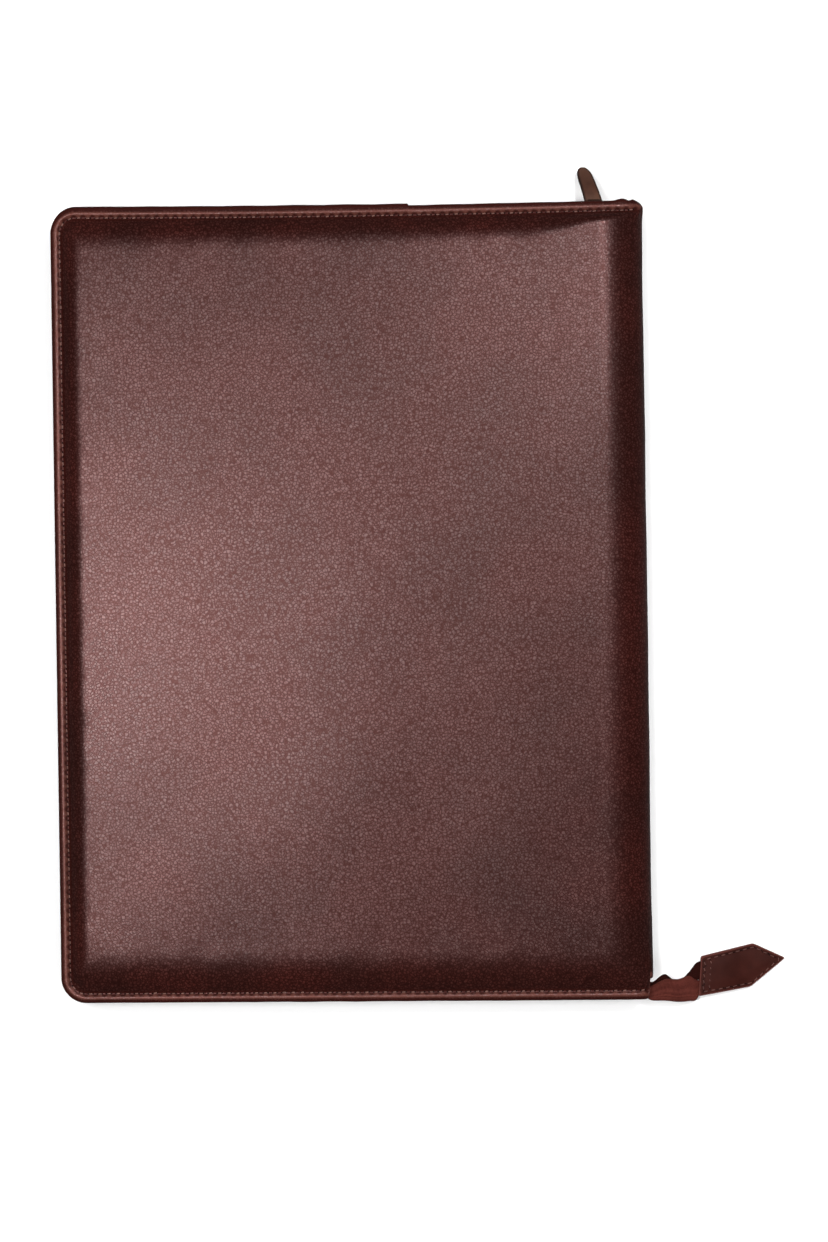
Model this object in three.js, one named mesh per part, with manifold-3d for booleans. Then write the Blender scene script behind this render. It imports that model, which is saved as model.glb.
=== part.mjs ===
// Leather document case: a padded folio with a zip round three sides, closed and lying on its back cover.
// Millimetres. +X points to the spine, +Y to the top edge, +Z up.
// The origin is the middle of the back cover's flat outer face, where the case rests.

import * as THREE from 'three';
import { mergeVertices } from 'three/addons/utils/BufferGeometryUtils.js';
import Module from 'manifold-3d';

// Case
const CASE_LENGTH = 345.5;
const CASE_WIDTH = 257;
const CASE_THICKNESS = 26;
const CORNER_RADIUS = 11;
const FRONT_CROWN = 1.2; // how far the front panel domes towards its middle
const EDGE_TAPER = 2.2; // how much longer the case is at the spine than at the fore-edge
const TOP_EDGE_SAG = 1; // how far the top edge dips between its ends
const EDGE_ZONE = 25; // band along the top and bottom that moves as one with its edge

// Leather
const BORDER_WIDTH = 4; // flat turned border outside the padding
const BORDER_WALL = 2.2;
const PANEL_WALL = 5.4; // padded leather of the panels
const SPINE_WALL = 3.6;
const PAD_RISE = 4.4; // how far the padding stands above the border
const FORE_SLOPE = 11.3; // width of the padding's slope along the fore-edge
const TOP_SLOPE = 15;
const BOTTOM_SLOPE = 19;
const SPINE_DEPTH = 20; // width of the roll from the panel's end to its outermost line
const SPINE_END_ROUND = 3; // radius of the roll's corners, seen from above
const STRIP_JOINT_X = 27; // where the turned strip of the top border ends
const STRIP_STEP = 0.7; // how far that strip stands past the rest of the edge

// Zip
const FIT_GAP = 0.3;
const TAPE_THICKNESS = 0.8;
const FLANGE_WIDTH = 6.3; // tape sewn under a border
const FLANGE_EDGE_INSET = 2.2; // from the case's edge to the fold of the tape
const CHAIN_INSET = 4.6; // from the case's edge to the row of teeth
const CHAIN_HEIGHT = 6;
const CHAIN_THICKNESS = 2.2;
const ZIP_TOP_END = 11; // from the spine's outermost line to the tapes' end inside its top end
const ZIP_TAIL_START = 10; // from that line to where the tapes leave the border at the bottom

// Slider
const SLIDER_FROM_SPINE = 20.7; // from the spine's outermost line to the slider's middle
const SLIDER_LENGTH = 9.2;
const SLIDER_HEIGHT = 5.8;
const SLIDER_PLATE = 0.9;
const SLIDER_NECK = 1.2;
const BRIDGE_LENGTH = 7.8;
const BRIDGE_BAR = 0.7;
const BRIDGE_HEIGHT = 1.4;

// Pull
const PULL_THICKNESS = 2.2;
const PULL_REACH = 16.8; // from the bridge bar to the tip, seen from above
const PULL_WIDTH = 8;
const PULL_NECK_WIDTH = 5.4;
const PULL_LEAN = 4; // how far the tip leans to the fore-edge side
const PULL_TIP_CLEARANCE = 0.3;

// Tail
const NOTCH_DEPTH = 8.6; // opening at the spine's bottom corner where the tapes come out
const NOTCH_ANGLE = 34; // half the opening's turn round the spine, in degrees
const NOTCH_FADE = 60;
const TAIL_LENGTH = 20.2;
const TAIL_TAPE_WIDTH = 8.6; // width of each tape half along the tail

// End tab
const TAB_LENGTH = 38.5;
const TAB_SHOULDER = 23.5;
const TAB_ROOT_WIDTH = 16.6;
const TAB_SHOULDER_WIDTH = 18.1;
const TAB_SHEAR = 0.28; // how far the tab's outline leans, per unit of its width
const TAB_TURN = 11; // degrees towards the top edge
const TAB_TILT = 3; // degrees, root above tip
const TAB_LAYER = 1.2;
const TAB_TAPE_OVERLAP = 10;
const TAB_REST_CLEARANCE = 0.2;
const TAB_CENTRE_LIFT = 3.55; // from the zip line to the tab's axis at its root, along +Y

// Colours
const LEATHER = { color: 0x4a2420, roughness: 0.5, metalness: 0 };
const PULL_LEATHER = { color: 0x4b3529, roughness: 0.6, metalness: 0 };
const TAPE = { color: 0x5a2e28, roughness: 0.85, metalness: 0 };
const TEETH = { color: 0x3a2320, roughness: 0.45, metalness: 0 };
const METAL = { color: 0x8a7a64, roughness: 0.35, metalness: 1 };

const HALF_LENGTH = CASE_LENGTH / 2;
const HALF_WIDTH = CASE_WIDTH / 2;
const MID_HEIGHT = CASE_THICKNESS / 2;
const SLIDER_X = HALF_WIDTH - SLIDER_FROM_SPINE;
const BORDER_OUTER = MID_HEIGHT - PAD_RISE;
const BORDER_INNER = BORDER_OUTER - BORDER_WALL;
const SPINE_START_X = HALF_WIDTH - SPINE_DEPTH;
const EDGE_ROUND = BORDER_WALL / 2;

const SLOPE_STATIONS = [0.1, 0.22, 0.38, 0.56, 0.78, 1];
const PANEL_COLUMNS = 4;
const PANEL_ROWS = 7;
const SPINE_STEPS = 18;
const CORNER_STEPS = 6;
const EDGE_STEPS = 8;

const radians = THREE.MathUtils.degToRad;
const clamp01 = (value) => Math.min(1, Math.max(0, value));
const blend = (from, to, share) => from + (to - from) * share;

// Meshes

function closedGeometry(points, faces) {
  const geometry = new THREE.BufferGeometry();
  geometry.setAttribute('position', new THREE.Float32BufferAttribute(points.flatMap((p) => [p.x, p.y, p.z]), 3));
  geometry.setIndex(faces.flat());
  const merged = mergeVertices(geometry, 1e-4);
  const index = merged.getIndex().array;
  const kept = [];
  for (let i = 0; i < index.length; i += 3) {
    const [a, b, c] = [index[i], index[i + 1], index[i + 2]];
    if (a !== b && b !== c && c !== a) {
      kept.push(a, b, c);
    }
  }
  if (enclosedVolume(merged, kept) < 0) {
    kept.reverse();
  }
  merged.setIndex(kept);
  merged.computeVertexNormals();
  return merged;
}

function enclosedVolume(geometry, index) {
  const position = geometry.getAttribute('position');
  const corners = [new THREE.Vector3(), new THREE.Vector3(), new THREE.Vector3()];
  let volume = 0;
  for (let i = 0; i < index.length; i += 3) {
    corners.forEach((corner, k) => corner.fromBufferAttribute(position, index[i + k]));
    volume += corners[0].dot(corners[1].clone().cross(corners[2])) / 6;
  }
  return volume;
}

// A solid through rings of equal point counts, each ring closed, with flat caps.
function loftSolid(rings, firstFlat, lastFlat) {
  const count = rings[0].length;
  const faces = [];
  for (let r = 0; r + 1 < rings.length; r += 1) {
    for (let i = 0; i < count; i += 1) {
      const next = (i + 1) % count;
      const [a, b, c, d] = [r * count + i, r * count + next, (r + 1) * count + next, (r + 1) * count + i];
      faces.push([a, b, c], [a, c, d]);
    }
  }
  const turn = THREE.ShapeUtils.isClockWise(firstFlat) ? 1 : -1;
  const capFaces = (flat, base, flip) => {
    for (const [a, b, c] of THREE.ShapeUtils.triangulateShape(flat, [])) {
      const corners = new THREE.Vector2().subVectors(flat[b], flat[a]).cross(
        new THREE.Vector2().subVectors(flat[c], flat[a]));
      const sameWay = corners * flip * turn > 0;
      faces.push(sameWay ? [base + a, base + b, base + c] : [base + a, base + c, base + b]);
    }
  };
  capFaces(firstFlat, 0, 1);
  capFaces(lastFlat, (rings.length - 1) * count, -1);
  return closedGeometry(rings.flat(), faces);
}

const wasm = await Module();
wasm.setup();

function toManifold(geometry) {
  const plain = geometry.clone();
  plain.deleteAttribute('normal');
  plain.deleteAttribute('uv');
  const merged = mergeVertices(plain, 1e-4);
  const vertProperties = new Float32Array(merged.getAttribute('position').array);
  const count = merged.getAttribute('position').count;
  const triVerts = merged.getIndex() ? new Uint32Array(merged.getIndex().array)
    : Uint32Array.from({ length: count }, (_, i) => i);
  return new wasm.Manifold(new wasm.Mesh({ numProp: 3, vertProperties, triVerts }));
}

function fromManifold(solid) {
  const mesh = solid.getMesh();
  const geometry = new THREE.BufferGeometry();
  geometry.setAttribute('position', new THREE.Float32BufferAttribute(mesh.vertProperties, 3));
  geometry.setIndex(new THREE.Uint32BufferAttribute(mesh.triVerts, 1));
  geometry.computeVertexNormals();
  return geometry;
}

// The edges' small departures from a true rectangle, shared by everything that follows them.
function settle(x, y) {
  const across = THREE.MathUtils.clamp(x / CASE_WIDTH, -0.5, 0.5);
  const share = Math.min(1, Math.abs(y) / (HALF_LENGTH - EDGE_ZONE));
  const top = -TOP_EDGE_SAG * (1 - 4 * across * across);
  const bottom = -EDGE_TAPER * across;
  return y + share * (y > 0 ? top : bottom);
}

// Cover

// Columns run from the front's fore-edge over the spine to the back's fore-edge.
// turn is 90 degrees on the front, 0 at the spine's outermost line and -90 on the back.
function coverColumns() {
  const insets = edgeInsets().concat(SLOPE_STATIONS.map((share) => BORDER_WIDTH + FORE_SLOPE * share));
  const front = insets.map((inset) => ({ x: inset - HALF_WIDTH, inset, turn: 90 }));
  const start = front.at(-1).x;
  const inner = Array.from({ length: PANEL_COLUMNS }, (_, i) => blend(start, SPINE_START_X, (i + 1) / PANEL_COLUMNS));
  const jointSides = [STRIP_JOINT_X - 0.2, STRIP_JOINT_X + 0.2];
  const panel = inner.concat(jointSides).sort((a, b) => a - b);
  panel.forEach((x) => front.push({ x, inset: x + HALF_WIDTH, turn: 90 }));
  const spine = [];
  for (let i = 1; i < SPINE_STEPS; i += 1) {
    const side = 1 - (2 * i) / SPINE_STEPS;
    const turn = 90 * Math.sign(side) * (1 - (1 - Math.abs(side)) ** 1.6);
    spine.push({ x: SPINE_START_X, inset: CASE_WIDTH, turn });
  }
  const back = front.map((column) => ({ ...column, turn: -90 })).reverse();
  return [...front, ...spine, ...back];
}

// Rows run from the bottom edge to the top edge.
function coverRows() {
  const ends = [{ end: -1, slope: BOTTOM_SLOPE }, { end: 1, slope: TOP_SLOPE }];
  const [bottom, top] = ends.map(({ end, slope }) => {
    const insets = edgeInsets().concat(SLOPE_STATIONS.map((share) => BORDER_WIDTH + slope * share));
    return insets.map((inset) => ({ y: end * (HALF_LENGTH - inset), inset, slope }));
  });
  const [low, high] = [bottom.at(-1).y, top.at(-1).y];
  const middle = Array.from({ length: PANEL_ROWS - 1 }, (_, i) => {
    const y = blend(low, high, (i + 1) / PANEL_ROWS);
    return { y, inset: HALF_LENGTH - Math.abs(y), slope: y < 0 ? BOTTOM_SLOPE : TOP_SLOPE };
  });
  return [...bottom, ...middle, ...top.reverse()];
}

function edgeInsets() {
  return [0, EDGE_ROUND * 0.3, EDGE_ROUND, (EDGE_ROUND + BORDER_WIDTH) / 2, BORDER_WIDTH];
}

function padRise(share) {
  return 1 - (1 - clamp01(share)) ** 2.4;
}

function edgeFullness(inset) {
  const share = clamp01(inset / EDGE_ROUND);
  return Math.sqrt(1 - (1 - share) ** 2);
}

// layer is 1 on the outside of the leather and -1 on the inside.
function coverPoint(column, row, layer) {
  const nearFore = clamp01(1 - (column.inset - BORDER_WIDTH) / FORE_SLOPE);
  const nearEnd = clamp01(1 - (row.inset - BORDER_WIDTH) / row.slope);
  const rise = padRise(1 - Math.cbrt(nearFore ** 3 + nearEnd ** 3));
  const full = edgeFullness(Math.min(column.inset, row.inset)) * layer;
  const dome = (1 - (column.x / HALF_WIDTH) ** 2) * (1 - (row.y / HALF_LENGTH) ** 2);
  const crown = column.turn > 0 ? FRONT_CROWN * dome * rise : 0;
  const outer = blend(BORDER_OUTER, MID_HEIGHT, rise) + crown;
  const inner = blend(BORDER_INNER, MID_HEIGHT - PANEL_WALL, rise);
  const half = (outer + inner) / 2 + (full * (outer - inner)) / 2;
  let { x, y } = { x: column.x, y: row.y };
  let z = MID_HEIGHT + Math.sign(column.turn) * half;
  if (Math.abs(column.turn) < 90) {
    const wall = blend(BORDER_WALL, SPINE_WALL, rise);
    const cornerShare = clamp01(1 - row.inset / SPINE_END_ROUND);
    const corner = SPINE_END_ROUND * (1 - Math.sqrt(1 - cornerShare ** 2));
    const depth = SPINE_DEPTH - corner - wall / 2 + (full * wall) / 2;
    const power = 2 / blend(4, 2, rise);
    const angle = radians(column.turn);
    x = SPINE_START_X + depth * Math.cos(angle) ** power;
    z = MID_HEIGHT + Math.sign(angle) * half * Math.abs(Math.sin(angle)) ** power;
    if (row.y < 0 && Math.abs(column.turn) < NOTCH_ANGLE) {
      y += NOTCH_DEPTH * clamp01(1 - row.inset / NOTCH_FADE);
    }
  }
  if (column.inset < CORNER_RADIUS && row.inset < CORNER_RADIUS) {
    const across = 1 - column.inset / CORNER_RADIUS;
    const along = 1 - row.inset / CORNER_RADIUS;
    const reach = CORNER_RADIUS * Math.max(across, along);
    const angle = along < across ? (Math.PI / 4) * (along / across)
      : (Math.PI / 4) * (2 - across / Math.max(along, 1e-9));
    x = CORNER_RADIUS - HALF_WIDTH - reach * Math.cos(angle);
    y = Math.sign(row.y) * (HALF_LENGTH - CORNER_RADIUS + reach * Math.sin(angle));
  }
  const onStrip = row.y > 0 && x < STRIP_JOINT_X && Math.abs(column.turn) === 90;
  const proud = onStrip ? STRIP_STEP * clamp01(1 - row.inset / EDGE_ROUND) : 0;
  return new THREE.Vector3(x, settle(x, y) + proud, z);
}

function coverGeometry() {
  const columns = coverColumns();
  const rows = coverRows();
  const points = [];
  const faces = [];
  for (const layer of [1, -1]) {
    const base = points.length;
    columns.forEach((column) => rows.forEach((row) => points.push(coverPoint(column, row, layer))));
    for (let i = 0; i + 1 < columns.length; i += 1) {
      for (let j = 0; j + 1 < rows.length; j += 1) {
        const [a, b] = [base + i * rows.length + j, base + (i + 1) * rows.length + j];
        const rising = i < columns.length / 2 === j < rows.length / 2;
        const pair = rising ? [[a, b, b + 1], [a, b + 1, a + 1]] : [[a, b, a + 1], [b, b + 1, a + 1]];
        pair.forEach((face) => faces.push(layer > 0 ? face : face.slice().reverse()));
      }
    }
  }
  return closedGeometry(points, faces);
}

// Zip

// Stations of the zip's line round three sides, from the spine's top end to its bottom end.
// Each has a point on the case's edge and the direction out of the case.
function zipStations(startX, endX) {
  const [cornerX, cornerY] = [CORNER_RADIUS - HALF_WIDTH, HALF_LENGTH - CORNER_RADIUS];
  const stations = [];
  for (let i = 0; i < EDGE_STEPS; i += 1) {
    stations.push({ x: blend(startX, cornerX, i / EDGE_STEPS), y: HALF_LENGTH, out: [0, 1] });
  }
  const addCorner = (centreY, fromDegrees) => {
    for (let i = 0; i <= CORNER_STEPS; i += 1) {
      const angle = radians(fromDegrees + (90 * i) / CORNER_STEPS);
      const out = [Math.cos(angle), Math.sin(angle)];
      stations.push({ x: cornerX + CORNER_RADIUS * out[0], y: centreY + CORNER_RADIUS * out[1], out });
    }
  };
  addCorner(cornerY, 90);
  for (const share of [0.25, 0.5, 0.75]) {
    stations.push({ x: -HALF_WIDTH, y: blend(cornerY, -cornerY, share), out: [-1, 0] });
  }
  addCorner(-cornerY, 180);
  for (let i = 1; i <= EDGE_STEPS; i += 1) {
    stations.push({ x: blend(cornerX, endX, i / EDGE_STEPS), y: -HALF_LENGTH, out: [0, -1] });
  }
  return stations;
}

// A flat section of (inset, height) pairs, placed at a station.
function placeSection(station, flat) {
  return flat.map(({ x: inset, y: height }) => {
    const x = station.x - station.out[0] * inset;
    const y = station.y - station.out[1] * inset;
    return new THREE.Vector3(x, settle(x, y), (station.z ?? MID_HEIGHT) + height);
  });
}

// The outline of a strip of even thickness along a bent line of three points.
function stripOutline([start, fold, end], thickness) {
  const side = (from, to) => {
    const along = new THREE.Vector2().subVectors(to, from).normalize();
    return new THREE.Vector2(-along.y, along.x);
  };
  const [first, second] = [side(start, fold), side(fold, end)];
  const middle = first.clone().add(second).divideScalar(Math.max(0.3, 1 + first.dot(second)));
  const half = thickness / 2;
  return [
    start.clone().addScaledVector(first, half),
    fold.clone().addScaledVector(middle, half),
    end.clone().addScaledVector(second, half),
    end.clone().addScaledVector(second, -half),
    fold.clone().addScaledVector(middle, -half),
    start.clone().addScaledVector(first, -half),
  ];
}

// side is 1 for the tape under the front border and -1 for the tape over the back border.
function gussetSection(side) {
  const flangeHeight = BORDER_INNER - FIT_GAP - TAPE_THICKNESS / 2;
  const toothEdge = CHAIN_HEIGHT / 2 + FIT_GAP + TAPE_THICKNESS * 0.4;
  const line = [
    new THREE.Vector2(CHAIN_INSET, side * toothEdge),
    new THREE.Vector2(FLANGE_EDGE_INSET, side * flangeHeight),
    new THREE.Vector2(FLANGE_EDGE_INSET + FLANGE_WIDTH, side * flangeHeight),
  ];
  return stripOutline(line, TAPE_THICKNESS);
}

// The zip's line along the tail. along is a share of the tail's length from the spine's outermost line,
// lift a share of the tape's width along +Y, height a share of the zip's height above the floor.
const TAIL_LINE = [
  { along: -0.3, lift: 0, height: 1 },
  { along: -0.15, lift: 0, height: 1 },
  { along: 0, lift: 0.08, height: 0.98 },
  { along: 0.275, lift: 0.35, height: 0.9 },
  { along: 0.55, lift: 0.31, height: 0.72 },
  { along: 0.8, lift: 0.42, height: 0.48 },
  { along: 0.96, lift: 0.2, height: 0.33 },
];

// How each half lies at those rows. Angles are degrees in the plane across the tail: 0 towards the case's
// middle, 90 up, 180 away from it. gap, root and tip are shares of the tape's width.
const NEAR_HALF = [
  { splay: -100, gap: 0.32, rootTurn: -160, root: 0.3, tipTurn: -170, tip: 0.1 },
  { splay: -130, gap: 0.12, rootTurn: -150, root: 0.45, tipTurn: -165, tip: 0.1 },
  { splay: -160, gap: 0.05, rootTurn: -160, root: 0.45, tipTurn: -170, tip: 0.32 },
  { splay: 180, gap: 0.05, rootTurn: -165, root: 0.45, tipTurn: -172, tip: 0.61 },
  { splay: 180, gap: 0.05, rootTurn: -174, root: 0.6, tipTurn: -178, tip: 0.48 },
  { splay: 180, gap: 0.05, rootTurn: 180, root: 0.62, tipTurn: 180, tip: 0.57 },
  { splay: 180, gap: 0.05, rootTurn: 180, root: 0.48, tipTurn: 180, tip: 0.47 },
];
const FAR_HALF = [
  { splay: 90, gap: 0.32, rootTurn: 90, root: 0.1, tipTurn: 30, tip: 0.3 },
  { splay: 50, gap: 0.12, rootTurn: 45, root: 0.28, tipTurn: 20, tip: 0.1 },
  { splay: -68, gap: 0.14, rootTurn: 55, root: 0.26, tipTurn: -10, tip: 0.06 },
  { splay: -126, gap: 0.19, rootTurn: 15, root: 0.31, tipTurn: -71, tip: 0.12 },
  { splay: -117, gap: 0.16, rootTurn: -95, root: 0.21, tipTurn: -143, tip: 0.27 },
  { splay: -120, gap: 0.16, rootTurn: -3, root: 0.2, tipTurn: -22, tip: 0.07 },
  { splay: 0, gap: 0.05, rootTurn: 0, root: 0.42, tipTurn: 0, tip: 0.42 },
];

const ZIP_LINE_Y = CHAIN_INSET - HALF_LENGTH;

function halfSection(row) {
  const step = (from, degrees, share) => new THREE.Vector2(
    from.x + Math.cos(radians(degrees)) * share * TAIL_TAPE_WIDTH,
    from.y + Math.sin(radians(degrees)) * share * TAIL_TAPE_WIDTH);
  const start = step(new THREE.Vector2(0, 0), row.splay, row.gap);
  const fold = step(start, row.rootTurn, row.root);
  const end = step(fold, row.tipTurn, row.tip);
  return stripOutline([start, fold, end], TAPE_THICKNESS);
}

// The tape's end between the tab's layers, as sections across X.
function tapeEndSections(side) {
  const margin = 1.8;
  const lineShift = 0.2 * TAIL_TAPE_WIDTH;
  const reach = TAB_ROOT_WIDTH / 2 - margin + side * lineShift;
  const spread = [0.04, 0.5, 1].map((share) => new THREE.Vector2(side * share * reach, 0));
  return [1.5, TAB_TAPE_OVERLAP - 1].map((along) => {
    const centre = tabPoint(along, 0, TAB_LAYER + FIT_GAP + TAPE_THICKNESS / 2);
    const station = { x: centre.x, y: centre.y - lineShift, z: centre.z, out: [0, -1] };
    return { station, flat: stripOutline(spread, TAPE_THICKNESS) };
  });
}

function tapeGeometry(side, rows) {
  const sections = zipStations(HALF_WIDTH - ZIP_TOP_END, HALF_WIDTH - ZIP_TAIL_START).map((station) => (
    { station, flat: gussetSection(side) }));
  TAIL_LINE.forEach((line, i) => {
    const station = {
      x: HALF_WIDTH + TAIL_LENGTH * line.along,
      y: ZIP_LINE_Y + TAIL_TAPE_WIDTH * line.lift,
      z: MID_HEIGHT * line.height,
      out: [0, -1],
    };
    sections.push({ station, flat: halfSection(rows[i]) });
  });
  sections.push(...tapeEndSections(side));
  const rings = sections.map(({ station, flat }) => placeSection(station, flat));
  return loftSolid(rings, sections[0].flat, sections.at(-1).flat);
}

function chainGeometry() {
  const [halfThick, halfHigh] = [CHAIN_THICKNESS / 2, CHAIN_HEIGHT / 2];
  const corners = [[-1, -1], [1, -1], [1, 1], [-1, 1]];
  const flat = corners.map(([inset, height]) => (
    new THREE.Vector2(CHAIN_INSET + inset * halfThick, height * halfHigh)));
  const startX = SLIDER_X + SLIDER_LENGTH / 2 - SLIDER_NECK - FIT_GAP;
  const stations = zipStations(startX, HALF_WIDTH - ZIP_TAIL_START);
  return loftSolid(stations.map((station) => placeSection(station, flat)), flat, flat);
}

// Slider and pull

function rectangle(left, bottom, right, top) {
  const shape = new THREE.Shape();
  shape.moveTo(left, bottom);
  shape.lineTo(right, bottom);
  shape.lineTo(right, top);
  shape.lineTo(left, top);
  shape.closePath();
  return shape;
}

function extrudeCentred(shape, depth, curveSegments = 4) {
  const geometry = new THREE.ExtrudeGeometry(shape, { depth, bevelEnabled: false, curveSegments });
  return geometry.translate(0, 0, -depth / 2);
}

// Seen along +Z: two plates joined by a neck, with the bridge outside the outer plate.
function sliderGeometry() {
  const half = SLIDER_LENGTH / 2;
  const channel = CHAIN_THICKNESS / 2 + FIT_GAP;
  const outside = channel + SLIDER_PLATE;
  const bevel = SLIDER_PLATE / 2;
  const body = new THREE.Shape();
  body.moveTo(-half, channel);
  body.lineTo(half - SLIDER_NECK, channel);
  body.lineTo(half - SLIDER_NECK, -channel);
  body.lineTo(-half, -channel);
  body.lineTo(-half + bevel, -outside);
  body.lineTo(half - bevel, -outside);
  body.lineTo(half, bevel - outside);
  body.lineTo(half, outside - bevel);
  body.lineTo(half - bevel, outside);
  body.lineTo(-half + bevel, outside);
  body.closePath();
  const barInside = CHAIN_INSET - BRIDGE_BAR / 2;
  const bridge = rectangle(-BRIDGE_LENGTH / 2, channel + SLIDER_PLATE / 2, BRIDGE_LENGTH / 2, barInside + BRIDGE_BAR);
  const reach = BRIDGE_LENGTH / 2 - SLIDER_PLATE;
  bridge.holes.push(rectangle(-reach, outside, reach, barInside));
  const solid = toManifold(extrudeCentred(body, SLIDER_HEIGHT)).add(
    toManifold(extrudeCentred(bridge, BRIDGE_HEIGHT)));
  return fromManifold(solid);
}

// Seen along +X, with the bridge bar at the origin: an eye round the bar, then a strip that droops.
function pullSideShape() {
  const eye = Math.hypot(BRIDGE_BAR, BRIDGE_HEIGHT) / 2 + FIT_GAP;
  const eyeOutside = eye + PULL_THICKNESS / 2 - 0.1;
  const drop = MID_HEIGHT - PULL_TIP_CLEARANCE - PULL_THICKNESS / 2;
  const reach = PULL_REACH + PULL_THICKNESS / 2;
  const line = new THREE.CubicBezierCurve(
    new THREE.Vector2(0, 0), new THREE.Vector2(0.42 * reach, 0),
    new THREE.Vector2(0.72 * reach, -0.55 * drop), new THREE.Vector2(reach, -drop));
  const steps = 8;
  const above = [];
  const below = [];
  for (let i = 1; i <= steps; i += 1) {
    const share = blend(0.12, 1, i / steps);
    const point = line.getPoint(share);
    const along = line.getTangent(share);
    const side = new THREE.Vector2(-along.y, along.x).multiplyScalar(PULL_THICKNESS / 2);
    above.push(point.clone().add(side));
    below.push(point.clone().sub(side));
  }
  const outline = [];
  for (let i = 0; i <= 8; i += 1) {
    const angle = radians(blend(40, 320, i / 8));
    outline.push(new THREE.Vector2(Math.cos(angle) * eyeOutside, Math.sin(angle) * eyeOutside));
  }
  outline.push(...below, ...above.reverse());
  const shape = new THREE.Shape(outline);
  const hole = new THREE.Path();
  hole.absarc(0, 0, eye, 0, 2 * Math.PI, true);
  shape.holes.push(hole);
  return shape;
}

// Seen from above, with the bridge bar's middle at the origin.
function pullPlanShape() {
  const [neck, half] = [PULL_NECK_WIDTH / 2, PULL_WIDTH / 2];
  const [tip, lean] = [PULL_REACH, -PULL_LEAN];
  const shape = new THREE.Shape();
  shape.moveTo(neck, -CHAIN_INSET);
  shape.lineTo(neck, 0.04 * tip);
  shape.lineTo(half, 0.06 * tip);
  shape.lineTo(lean + 0.49 * PULL_WIDTH, 0.76 * tip);
  shape.bezierCurveTo(lean + 0.37 * PULL_WIDTH, 0.92 * tip, lean + 0.2 * PULL_WIDTH, 0.99 * tip, lean, tip);
  shape.bezierCurveTo(lean - 0.22 * PULL_WIDTH, 1.01 * tip, lean - 0.43 * PULL_WIDTH, 0.93 * tip,
    lean - 0.33 * PULL_WIDTH, 0.73 * tip);
  shape.lineTo(-half, 0.06 * tip);
  shape.lineTo(-neck, 0.04 * tip);
  shape.lineTo(-neck, -CHAIN_INSET);
  shape.closePath();
  return shape;
}

function pullGeometry() {
  const side = extrudeCentred(pullSideShape(), 4 * PULL_WIDTH, 12);
  side.rotateX(Math.PI / 2);
  side.rotateZ(Math.PI / 2);
  const plan = extrudeCentred(pullPlanShape(), 3 * CASE_THICKNESS, 5);
  return fromManifold(toManifold(side).intersect(toManifold(plan)));
}

// End tab

// A point of the tab: along its axis from the root, across it, and up from its lower face.
function tabPoint(along, across, up) {
  const leaning = along + TAB_SHEAR * across;
  const [turn, tilt] = [radians(TAB_TURN), radians(TAB_TILT)];
  const flat = leaning * Math.cos(tilt);
  return new THREE.Vector3(
    HALF_WIDTH + TAIL_LENGTH + 0.85 + flat * Math.cos(turn) - across * Math.sin(turn),
    ZIP_LINE_Y + TAB_CENTRE_LIFT + flat * Math.sin(turn) + across * Math.cos(turn),
    TAB_REST_CLEARANCE + (TAB_LENGTH - leaning) * Math.sin(tilt) + up);
}

// floorAt gives the layer's lower face above the tab's lower face at a place along the tab.
function tabLayerGeometry(floorAt) {
  const rampEnd = TAB_TAPE_OVERLAP + 3;
  const stations = [0, TAB_TAPE_OVERLAP, rampEnd, TAB_SHOULDER, TAB_LENGTH - 0.5];
  const halfAt = (along) => (along <= TAB_SHOULDER
    ? blend(TAB_ROOT_WIDTH, TAB_SHOULDER_WIDTH, along / TAB_SHOULDER) / 2
    : (TAB_SHOULDER_WIDTH / 2) * ((TAB_LENGTH - along) / (TAB_LENGTH - TAB_SHOULDER)));
  const rings = stations.map((along) => {
    const [half, floor] = [halfAt(along), floorAt(along)];
    const corners = [[-half, floor], [half, floor], [half, floor + TAB_LAYER], [-half, floor + TAB_LAYER]];
    return corners.map(([across, up]) => {
      const point = tabPoint(along, across, up);
      return point.setY(settle(point.x, point.y));
    });
  });
  const square = [[0, 0], [1, 0], [1, 1], [0, 1]].map(([x, y]) => new THREE.Vector2(x, y));
  return loftSolid(rings, square, square);
}

function upperLayerFloor(along) {
  const overTape = clamp01((TAB_TAPE_OVERLAP + 3 - along) / 3);
  return TAB_LAYER + FIT_GAP + overTape * (TAPE_THICKNESS + FIT_GAP);
}

// Assembly

function piece(name, geometry, finish) {
  const mesh = new THREE.Mesh(geometry, new THREE.MeshStandardMaterial(finish));
  mesh.name = name;
  return mesh;
}

const group = new THREE.Group();
group.add(piece('cover', coverGeometry(), LEATHER));
group.add(piece('zip_tape_front', tapeGeometry(1, FAR_HALF), TAPE));
group.add(piece('zip_tape_back', tapeGeometry(-1, NEAR_HALF), TAPE));
group.add(piece('zip_chain', chainGeometry(), TEETH));

const slider = piece('slider', sliderGeometry(), METAL);
slider.position.set(SLIDER_X, settle(SLIDER_X, HALF_LENGTH) - CHAIN_INSET, MID_HEIGHT);
group.add(slider);

const pull = piece('pull', pullGeometry(), PULL_LEATHER);
pull.position.set(SLIDER_X, settle(SLIDER_X, HALF_LENGTH), MID_HEIGHT);
group.add(pull);

group.add(piece('end_tab_lower', tabLayerGeometry(() => 0), LEATHER));
group.add(piece('end_tab_upper', tabLayerGeometry(upperLayerFloor), LEATHER));

export default group;
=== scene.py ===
"""Leather document case: a padded zip folio, closed and lying on its back cover.

All sizes are metres. +X points to the spine, +Y to the top edge and +Z up.
"""

import logging
import math
from contextlib import contextmanager
from dataclasses import dataclass
from enum import Enum
from typing import Callable, Iterator, Sequence

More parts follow.
